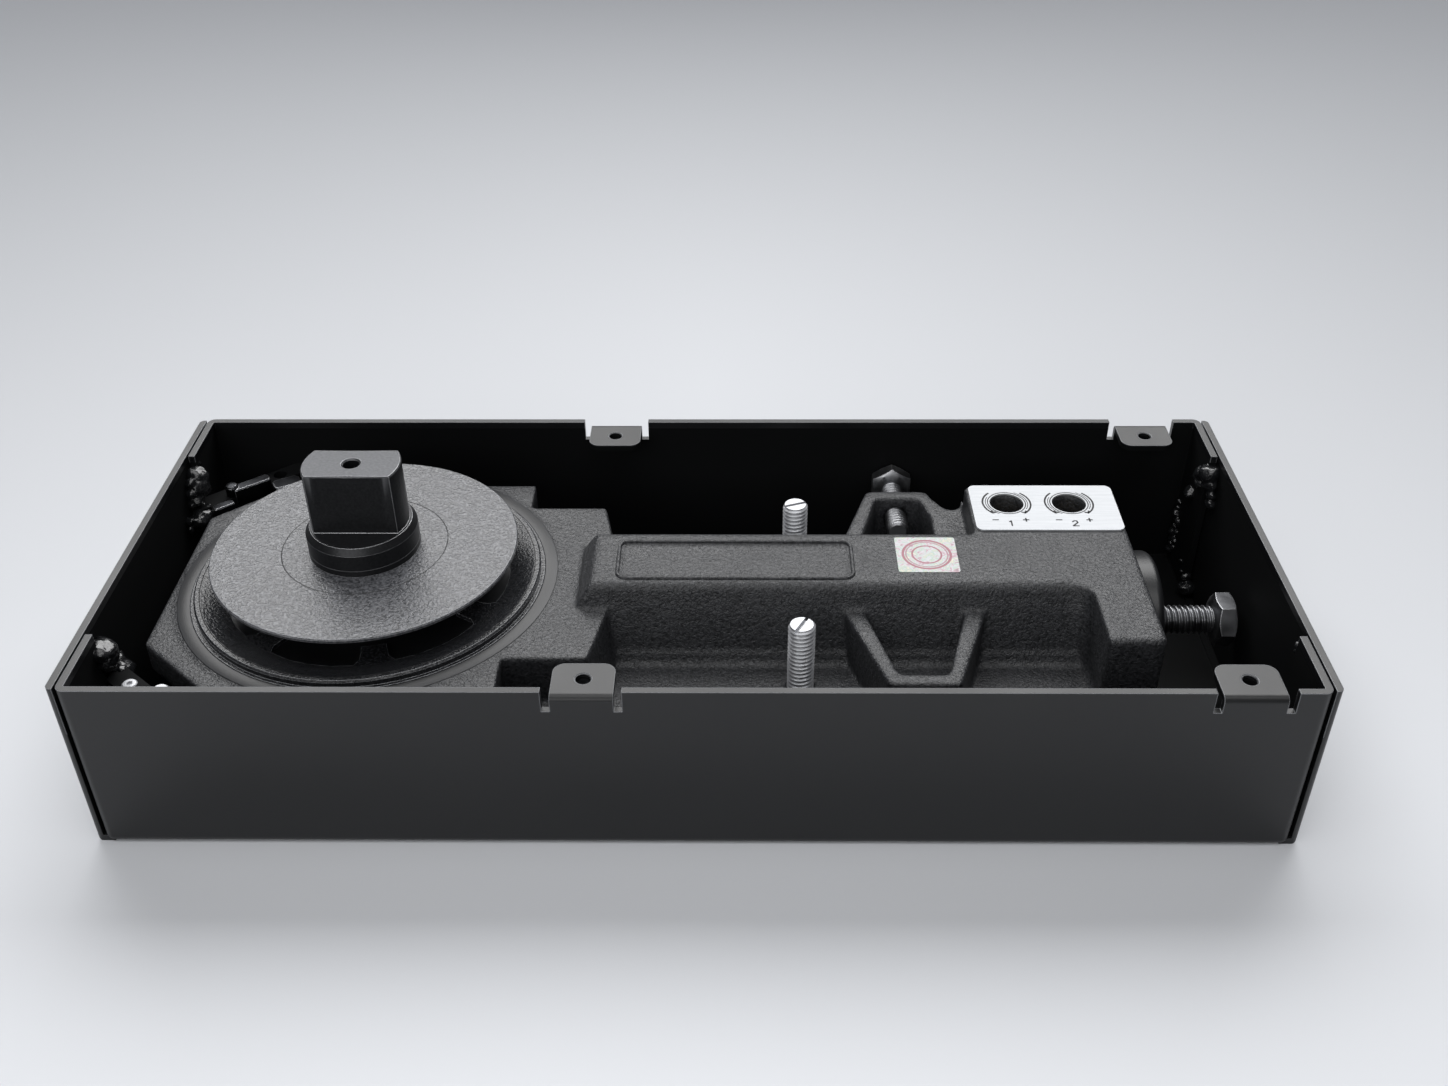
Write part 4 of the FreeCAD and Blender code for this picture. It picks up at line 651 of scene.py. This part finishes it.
RIDGE_TOP, SHOULDER_TOP, LEDGE_TOP = 44.2, 37.2, 22.7
form = bmesh.new()
form.from_mesh(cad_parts["housing"].data)
form.transform(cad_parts["housing"].matrix_world)
bmesh.ops.remove_doubles(form, verts=form.verts, dist=0.002 * MM)
for side in (-1, 1):
    add_block(form, [(-29, side * 33.5, 20), (-25, side * 33.5, 20), (-20, side * 16, 20),
                     (-29, side * 15, 20)],
              [(-29, side * 33.5, SHOULDER_TOP), (-27.3, side * 33.5, SHOULDER_TOP),
               (-23.4, side * 13.4, SHOULDER_TOP), (-29, side * 13, SHOULDER_TOP)])
for low, high in (((103, -18.2, -1, -1, 5.5, 20), (103, -14.2, -1, -1, 5, SHOULDER_TOP)),
                  ((103, -14.2, -1, -1, 5, SHOULDER_TOP), (103, -12, -1, -1, 4.5, RIDGE_TOP)),
                  ((75.5, 18.2, -1, 1, 4, 20), (75.5, 14.2, -1, 1, 4, SHOULDER_TOP))):
    add_block(form, *[[(a, b, ring[5]) for a, b in corner_fill(*ring[:5])] for ring in (low, high)])
for side, right in ((-1, 103), (1, 75.5)):
    outline = corner_fill(side * 18.2, LEDGE_TOP, side, 1, 3)
    add_block(form, [(-28, a, b) for a, b in outline], [(right, a, b) for a, b in outline])
    outline = corner_fill(right, LEDGE_TOP, -1, 1, 3)
    add_block(form, [(a, side * 16, b) for a, b in outline],
              [(a, side * 35, b) for a, b in outline])
step = [(-31.6, 36), (-31.4, 39.2), (-30.8, 40), (-29, 40), (-29, 36)]
add_block(form, [(x, -13.6, z) for x, z in step], [(x, 10.5, z) for x, z in step])
web = [(66, 18), (76.5, 18), (76.5, 38.5), (75.6, 38.4), (75.4, 36.6), (74.6, 34.7), (72.6, 33.6),
       (70.4, 34.6), (69.2, 36.5), (68.2, 38.5), (66, 38.5)]
add_block(form, [(x, y, 22) for x, y in web], [(x, y, 37.1) for x, y in web])
rough_mesh = bare_mesh("casting", form)
casting = after_modifiers("casting", rough_mesh, [
    ("REMESH", {"mode": "VOXEL", "voxel_size": 0.6 * MM}),
    ("SMOOTH", {"factor": 0.5, "iterations": 10}),
])
smooth_mesh(casting, 180)
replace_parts(show("casting_skin", casting, "closer_unit", cast_paint), "housing")


def lathe(corners, columns=128):
    """A closed ring turned about +Z from an outline of radii and heights in millimetres."""
    rings = [around(radius, height, columns) for radius, height in corners]
    mesh = loft(rings + rings[:1], capped=False)
    form = bmesh.new()
    form.from_mesh(mesh)
    bmesh.ops.remove_doubles(form, verts=form.verts, dist=0.001 * MM)
    form.to_mesh(mesh)
    form.free()
    return mesh


def bead(path, radius, columns=10):
    """A round bead along a closed path of points in millimetres, in a level plane."""
    rings = []
    count = len(path)
    for number, (x, y, z) in enumerate(path):
        before, after = Vector(path[number - 1]), Vector(path[(number + 1) % count])
        level = (after - before).normalized()
        across = Vector((level.y, -level.x, 0))
        rings.append([(Vector((x, y, z)) + across * radius * math.cos(2 * math.pi * turn / columns)
                       + Vector((0, 0, radius * math.sin(2 * math.pi * turn / columns)))) * MM
                      for turn in range(columns)])
    return loft(rings + rings[:1], capped=False)


# The casting's machined band, turned with the seat of the ring nut that it surrounds, and the
# raised bead that was cast round the sunk panel on its ridge.
SPINDLE_X = -88.7
band = place_mesh(lathe([(47.02, 33), (47.02, 37.7), (47.2, 37.86), (50.35, 37.86),
                         (50.55, 37.7), (50.55, 33)]), (SPINDLE_X, 0, 0))
smooth_mesh(band, 40)
band_coat = powder_coat("black_paint_on_machined_band", "#141517", "#46474a", 0.42, 1.6, 0.02)[0]
show("machined_band", band, "closer_unit", band_coat)
rim = bead(rounded_rectangle(-21.2, 41.2, -9.4, 7.2, 2.4, 44.25), 0.55)
smooth_mesh(rim, 180)
show("panel_bead", rim, "closer_unit", cast_paint)

# Bearing cover and end plug. Turned iron in the same black, sprayed over a machined surface, so
# smoother than the casting.
finish(turned_coat, "bearing_cover", "end_plug")

# Dust disc and its hub. Pressed steel with a fine-textured grey-black coat that breaks the
# highlight into sparkle.


def grainy_coat(name, dark, pale, seam_radius):
    """Fine-textured powder coat with half-millimetre grain, a painted highlight along its sharp
    edges, and a dark seam round the spindle.
    """
    material, tree = new_material(name)
    where = add(tree, "ShaderNodeTexCoord")
    grit = add(tree, "ShaderNodeTexNoise", {"Vector": where.outputs["Object"], "Detail": 2.0,
                                            "Scale": 1 / (0.667 * MM), "Distortion": 0.4})
    height = add(tree, "ShaderNodeMapRange", {"Value": grit.outputs["Fac"], "From Min": 0.35,
                                              "From Max": 0.65})
    edge_highlight_and_wear, rounded = sharp_edge_mask(tree, 0.25)
    bump = add(tree, "ShaderNodeBump", {"Height": height.outputs[0], "Strength": 0.6,
                                        "Distance": 0.12 * MM, "Normal": rounded})
    colour = blend_colours(tree, height.outputs[0], linear(dark), linear(pale))
    # Painted highlight along the sharp edges.
    colour = blend_colours(tree, edge_highlight_and_wear, colour, linear("#b9bbbf"))
    offset = add(tree, "ShaderNodeVectorMath", {0: where.outputs["Object"],
                                                1: (-SPINDLE_X * MM, 0.0, 0.0)},
                 operation="ADD")
    flat = add(tree, "ShaderNodeVectorMath", {0: offset.outputs[0], 1: (1.0, 1.0, 0.0)},
               operation="MULTIPLY")
    reach = add(tree, "ShaderNodeVectorMath", {0: flat.outputs[0]}, operation="LENGTH")
    beside = math_node(tree, "ABSOLUTE", math_node(tree, "SUBTRACT", reach.outputs["Value"],
                                                   seam_radius * MM))
    seam = math_node(tree, "LESS_THAN", beside, 0.12 * MM)
    colour = blend_colours(tree, seam, colour, linear("#0b0b0c"))
    matt = add(tree, "ShaderNodeMapRange", {"Value": seam, "To Min": 0.25, "To Max": 0.9})
    film = add(tree, "ShaderNodeBsdfPrincipled", {"Base Color": colour, "Normal": bump.outputs[0],
                                                  "Roughness": matt.outputs[0], "IOR": 1.55})
    add(tree, "ShaderNodeOutputMaterial", {"Surface": film.outputs[0]})
    return material


finish(grainy_coat("fine_texture_on_disc", "#313235", "#626367", 21.8), "dust_disc", "disc_hub")

# Ring nut. Turned steel with seven spanner windows, screwed down over the bearing cover, in the
# same grainy coat as the disc but darker.
finish(grainy_coat("fine_texture_on_ring_nut", "#161719", "#313235", 44.4), "ring_nut")

# Spindle. Forged steel, turned round, milled flat on two sides of its tongue and blacked. The
# black has rubbed off its end. Its edges are lighter, partly rubbed and partly a painted
# highlight.
spindle_steel, tree = new_material("blacked_steel_spindle")
where = add(tree, "ShaderNodeTexCoord")
apart = add(tree, "ShaderNodeSeparateXYZ", {"Vector": where.outputs["Object"]})
worn = add(tree, "ShaderNodeMapRange", {"Value": apart.outputs["Z"], "From Min": 73.3 * MM,
                                        "From Max": 73.8 * MM})
cutter = add(tree, "ShaderNodeTexNoise", {"Vector": where.outputs["Object"], "Detail": 3.0,
                                          "Scale": 1 / (0.769 * MM)})
dark = blend_colours(tree, cutter.outputs["Fac"], linear("#17181a"), linear("#323335"))
pale = blend_colours(tree, cutter.outputs["Fac"], linear("#303134"), linear("#56575a"))
edge_highlight_and_wear, rounded = sharp_edge_mask(tree, 0.3)
colour = blend_colours(tree, worn.outputs[0], dark, pale)
# Painted highlight, partly wear too, along the sharp edges.
colour = blend_colours(tree, edge_highlight_and_wear, colour, linear("#c9cacd"))
bump = add(tree, "ShaderNodeBump", {"Height": cutter.outputs["Fac"], "Strength": 0.4,
                                    "Distance": 0.1 * MM, "Normal": rounded})
metal = add(tree, "ShaderNodeBsdfPrincipled", {"Base Color": colour, "Metallic": 0.6,
                                               "Roughness": 0.38, "Normal": bump.outputs[0]})
add(tree, "ShaderNodeOutputMaterial", {"Surface": metal.outputs[0]})


def tongue(angle, inset=0.0):
    """The tongue's outline: a one-inch round with two flats half an inch apart."""
    across = abs(math.sin(angle))
    return min(12.7, 6.35 / across if across > 0.01 else 12.7) - inset


head = loft([
    around(14.6, 50, 96), around(14.6, 54.6, 96), around(13.4, 56.4, 96),
    around(tongue, 56.4, 96), around(tongue, 73.55, 96),
    around(lambda angle: tongue(angle, 0.3), 73.88, 96),
    around(2.6, 73.88, 96), around(2.15, 73.5, 96), around(2.15, 60, 96),
])
place_mesh(head, (SPINDLE_X, 0, 0))
shaft = bmesh.new()
shaft.from_mesh(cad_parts["spindle"].data)
bmesh.ops.bisect_plane(shaft, geom=shaft.verts[:] + shaft.edges[:] + shaft.faces[:],
                       plane_co=(0, 0, 50 * MM), plane_no=(0, 0, 1), clear_outer=True)
shaft.from_mesh(head)
bmesh.ops.remove_doubles(shaft, verts=shaft.verts, dist=0.002 * MM)
spindle_mesh = bare_mesh("spindle_turned", shaft)
smooth_mesh(spindle_mesh, 26)
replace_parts(show("spindle_turned", spindle_mesh, "spindle_unit", spindle_steel),
            "spindle")

# Working parts inside. Ground bearing steel shines almost like a mirror. The oiled carriage
# plates, the grey iron piston, the bronze washer and the brass speed valves are duller and show
# their tool marks.


def machined_metal(name, pale, dark, rough, mark_mm):
    """Bare machined metal with fine tool marks of a real spacing."""
    material, tree = new_material(name)
    where = add(tree, "ShaderNodeTexCoord")
    marks = add(tree, "ShaderNodeTexNoise", {"Vector": where.outputs["Object"],
                                             "Scale": 1 / (mark_mm * MM), "Detail": 3.0})
    colour = blend_colours(tree, marks.outputs["Fac"], linear(dark), linear(pale))
    bump = add(tree, "ShaderNodeBump", {"Height": marks.outputs["Fac"], "Strength": 0.2,
                                        "Distance": 0.05 * MM})
    metal = add(tree, "ShaderNodeBsdfPrincipled", {"Base Color": colour, "Metallic": 1.0,
                                                   "Roughness": rough,
                                                   "Normal": bump.outputs[0]})
    add(tree, "ShaderNodeOutputMaterial", {"Surface": metal.outputs[0]})
    return material


finish(machined_metal("ground_bearing_steel", "#c9cbce", "#9fa1a5", 0.22, 0.5),
       "heart_cam", "cam_key", "front_cam_roller", "rear_cam_roller", "front_roller_pin",
       "rear_roller_pin", "first_piston_pin", "second_piston_pin", "upper_bearing",
       "lower_bearing", "check_ball")
spring_steel = machined_metal("oiled_spring_steel", "#8d8a86", "#5f5d5b", 0.34, 1.2)
finish(spring_steel, "lower_carriage_plate", "upper_carriage_plate", "check_plug")
finish(machined_metal("machined_grey_iron", "#7d7e80", "#545557", 0.45, 0.8), "piston")
finish(machined_metal("machined_bronze", "#c79a58", "#99713a", 0.30, 0.7), "thrust_washer")
finish(machined_metal("machined_brass", "#8f8064", "#5d523e", 0.38, 0.6),
       "closing_valve", "latching_valve")

# Main spring. Coiled of oiled spring steel and seated on the end plug. Its coils close up as the
# piston comes toward the plug, but here they stay one fixed mesh.
coils = bmesh.new()
coils.from_mesh(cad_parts["main_spring"].data)
bmesh.ops.remove_doubles(coils, verts=coils.verts, dist=0.002 * MM)
coil_mesh = bare_mesh("main_spring_coils", coils)
smooth_mesh(coil_mesh, 40)
spring = show("main_spring_coils", coil_mesh, "closer_unit", spring_steel)
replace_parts(spring, "main_spring")
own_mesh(spring)

# Seals. Black nitrile rubber in the grooves, moulded and almost without shine, and a ring of
# filled plastic on the piston.


def moulded_black(name, shade, rough):
    """A moulded seal material with a faint bloom every few millimetres."""
    material, tree = new_material(name)
    where = add(tree, "ShaderNodeTexCoord")
    bloom = add(tree, "ShaderNodeTexNoise", {"Vector": where.outputs["Object"], "Detail": 3.0,
                                             "Scale": 1 / (3.33 * MM)})
    darker = [part * 0.6 for part in linear(shade)[:3]] + [1.0]
    colour = blend_colours(tree, bloom.outputs["Fac"], darker, linear(shade))
    skin = add(tree, "ShaderNodeBsdfPrincipled", {"Base Color": colour, "Roughness": rough,
                                                  "IOR": 1.52})
    add(tree, "ShaderNodeOutputMaterial", {"Surface": skin.outputs[0]})
    return material


finish(moulded_black("nitrile_rubber", "#1a1a1b", 0.6),
       "cover_o_ring", "oil_seal", "plug_o_ring", "closing_valve_o_ring", "latching_valve_o_ring")
finish(moulded_black("filled_plastic", "#4a4640", 0.5), "piston_ring")

# Valve plate. Printed aluminium: a silver-white face with thin dark arcs round the two valve
# holes, arrowheads, and plain signs and numbers under them.
plate_silver, tree = new_material("silver_printed_aluminium")
where = add(tree, "ShaderNodeTexCoord")
brush = add(tree, "ShaderNodeMapping", {"Vector": where.outputs["Object"],
                                        "Scale": (1 / (8.33 * MM), 1 / (0.286 * MM),
                                                  1 / (8.33 * MM))})
hair = add(tree, "ShaderNodeTexNoise", {"Vector": brush.outputs[0], "Scale": 1.0, "Detail": 2.0})
colour = blend_colours(tree, hair.outputs["Fac"], linear("#9fa2a6"), linear("#bbbdc0"))
metal = add(tree, "ShaderNodeBsdfPrincipled", {"Base Color": colour, "Metallic": 0.25,
                                               "Roughness": 0.4})
add(tree, "ShaderNodeOutputMaterial", {"Surface": metal.outputs[0]})
finish(plate_silver, "valve_plate")

ink, tree = new_material("dark_printing_ink")
film = add(tree, "ShaderNodeBsdfPrincipled", {"Base Color": linear("#1a1b1d"), "Roughness": 0.6})
add(tree, "ShaderNodeOutputMaterial", {"Surface": film.outputs[0]})


PLATE_FACE, INK_TOP = 44.79, 44.83


def stroke(form, points, width):
    """A printed line through points of the plate."""
    for first, second in zip(points, points[1:]):
        along = Vector((second[0] - first[0], second[1] - first[1], 0)).normalized()
        side = Vector((-along.y, along.x, 0)) * width / 2
        ends = [Vector((*first, 0)) - along * width * 0.2,
                Vector((*second, 0)) + along * width * 0.2]
        outline = [ends[0] + side, ends[0] - side, ends[1] - side, ends[1] + side]
        add_block(form, [(x, y, PLATE_FACE) for x, y, z in outline],
                  [(x, y, INK_TOP) for x, y, z in outline])


def arc(x, y, radius, start, stop, steps=14):
    """Points along an arc, in degrees."""
    angles = [math.radians(start + (stop - start) * step / steps) for step in range(steps + 1)]
    return [(x + radius * math.cos(angle), y + radius * math.sin(angle)) for angle in angles]


prints = bmesh.new()
for number, x in enumerate((86.2, 103.7)):
    stroke(prints, arc(x, 25.2, 5.3, 0, 360, 40), 0.3)
    for side in (1, -1):
        start = 90 - side * 90
        stroke(prints, arc(x, 25.2, 6.7, start - 48, start + 48), 0.5)
        stroke(prints, arc(x, 25.2, 5.9, start - 30, start + 62), 0.22)
        tip_x, tip_y = arc(x, 25.2, 6.7, start - side * 48, start - side * 50, 1)[0]
        stroke(prints, [(tip_x - side * 0.9, tip_y + 0.5), (tip_x, tip_y), (tip_x + side * 0.3,
                                                                            tip_y + 1.1)], 0.5)
    stroke(prints, [(x - 5.0, 16.9), (x - 3.4, 16.9)], 0.42)
    stroke(prints, [(x + 3.4, 16.9), (x + 5.0, 16.9)], 0.42)
    stroke(prints, [(x + 4.2, 16.1), (x + 4.2, 17.7)], 0.42)
    if number:
        stroke(prints, [(x - 0.7, 15.9), (x - 0.2, 16.4), (x + 0.5, 16.4), (x + 0.7, 15.6),
                        (x - 0.8, 14.0), (x + 0.8, 14.0)], 0.42)
    else:
        stroke(prints, [(x - 0.5, 15.9), (x, 16.4), (x, 14.0)], 0.42)
print_mesh = bare_mesh("plate_print", prints)
show("plate_print", print_mesh, "closer_unit", ink)

# Foil sticker on the ridge. A plain square of embossed foil that breaks light into pale pink and
# green, with three plain rings on it.
foil, tree = new_material("embossed_foil")
where = add(tree, "ShaderNodeTexCoord")
offset = add(tree, "ShaderNodeVectorMath", {0: where.outputs["Object"],
                                            1: (-61.35 * MM, -1.1 * MM, -44.3 * MM)},
             operation="ADD")
reach = add(tree, "ShaderNodeVectorMath", {0: offset.outputs[0]}, operation="LENGTH")
turn = add(tree, "ShaderNodeTexNoise", {"Vector": where.outputs["Object"], "Detail": 1.0,
                                        "Scale": 1 / (2.38 * MM), "Distortion": 2.0})
tint = add(tree, "ShaderNodeValToRGB", {"Fac": turn.outputs["Fac"]})
ramp = tint.color_ramp
for share, shade in ((0.36, "#a98f97"), (0.48, "#b4b6b9"), (0.56, "#95a89e"), (0.68, "#b8b2a4")):
    ramp.elements.new(share).color = linear(shade)
colour = tint.outputs["Color"]
for radius, width, shade in ((6.4, 0.35, "#8c5a64"), (5.6, 0.2, "#93717a"), (3.9, 0.25, "#8c5a64")):
    beside = math_node(tree, "ABSOLUTE", math_node(tree, "SUBTRACT", reach.outputs["Value"],
                                                   radius * MM))
    ring = math_node(tree, "LESS_THAN", beside, width * MM)
    colour = blend_colours(tree, ring, colour, linear(shade))
shine = add(tree, "ShaderNodeBsdfPrincipled", {"Base Color": colour, "Metallic": 0.15,
                                               "Roughness": 0.45})
add(tree, "ShaderNodeOutputMaterial", {"Surface": shine.outputs[0]})
form = bmesh.new()
corners = [(x, y) for x, y, z in rounded_rectangle(53.2, 69.5, -6.8, 9.0, 0.7, 0)]
add_block(form, [(x, y, 44.2) for x, y in corners], [(x, y, 44.38) for x, y in corners])
sticker = bare_mesh("foil_sticker", form)
show("foil_sticker", sticker, "closer_unit", foil)

# The plain view transform.
bpy.context.scene.view_settings.view_transform = "Standard"
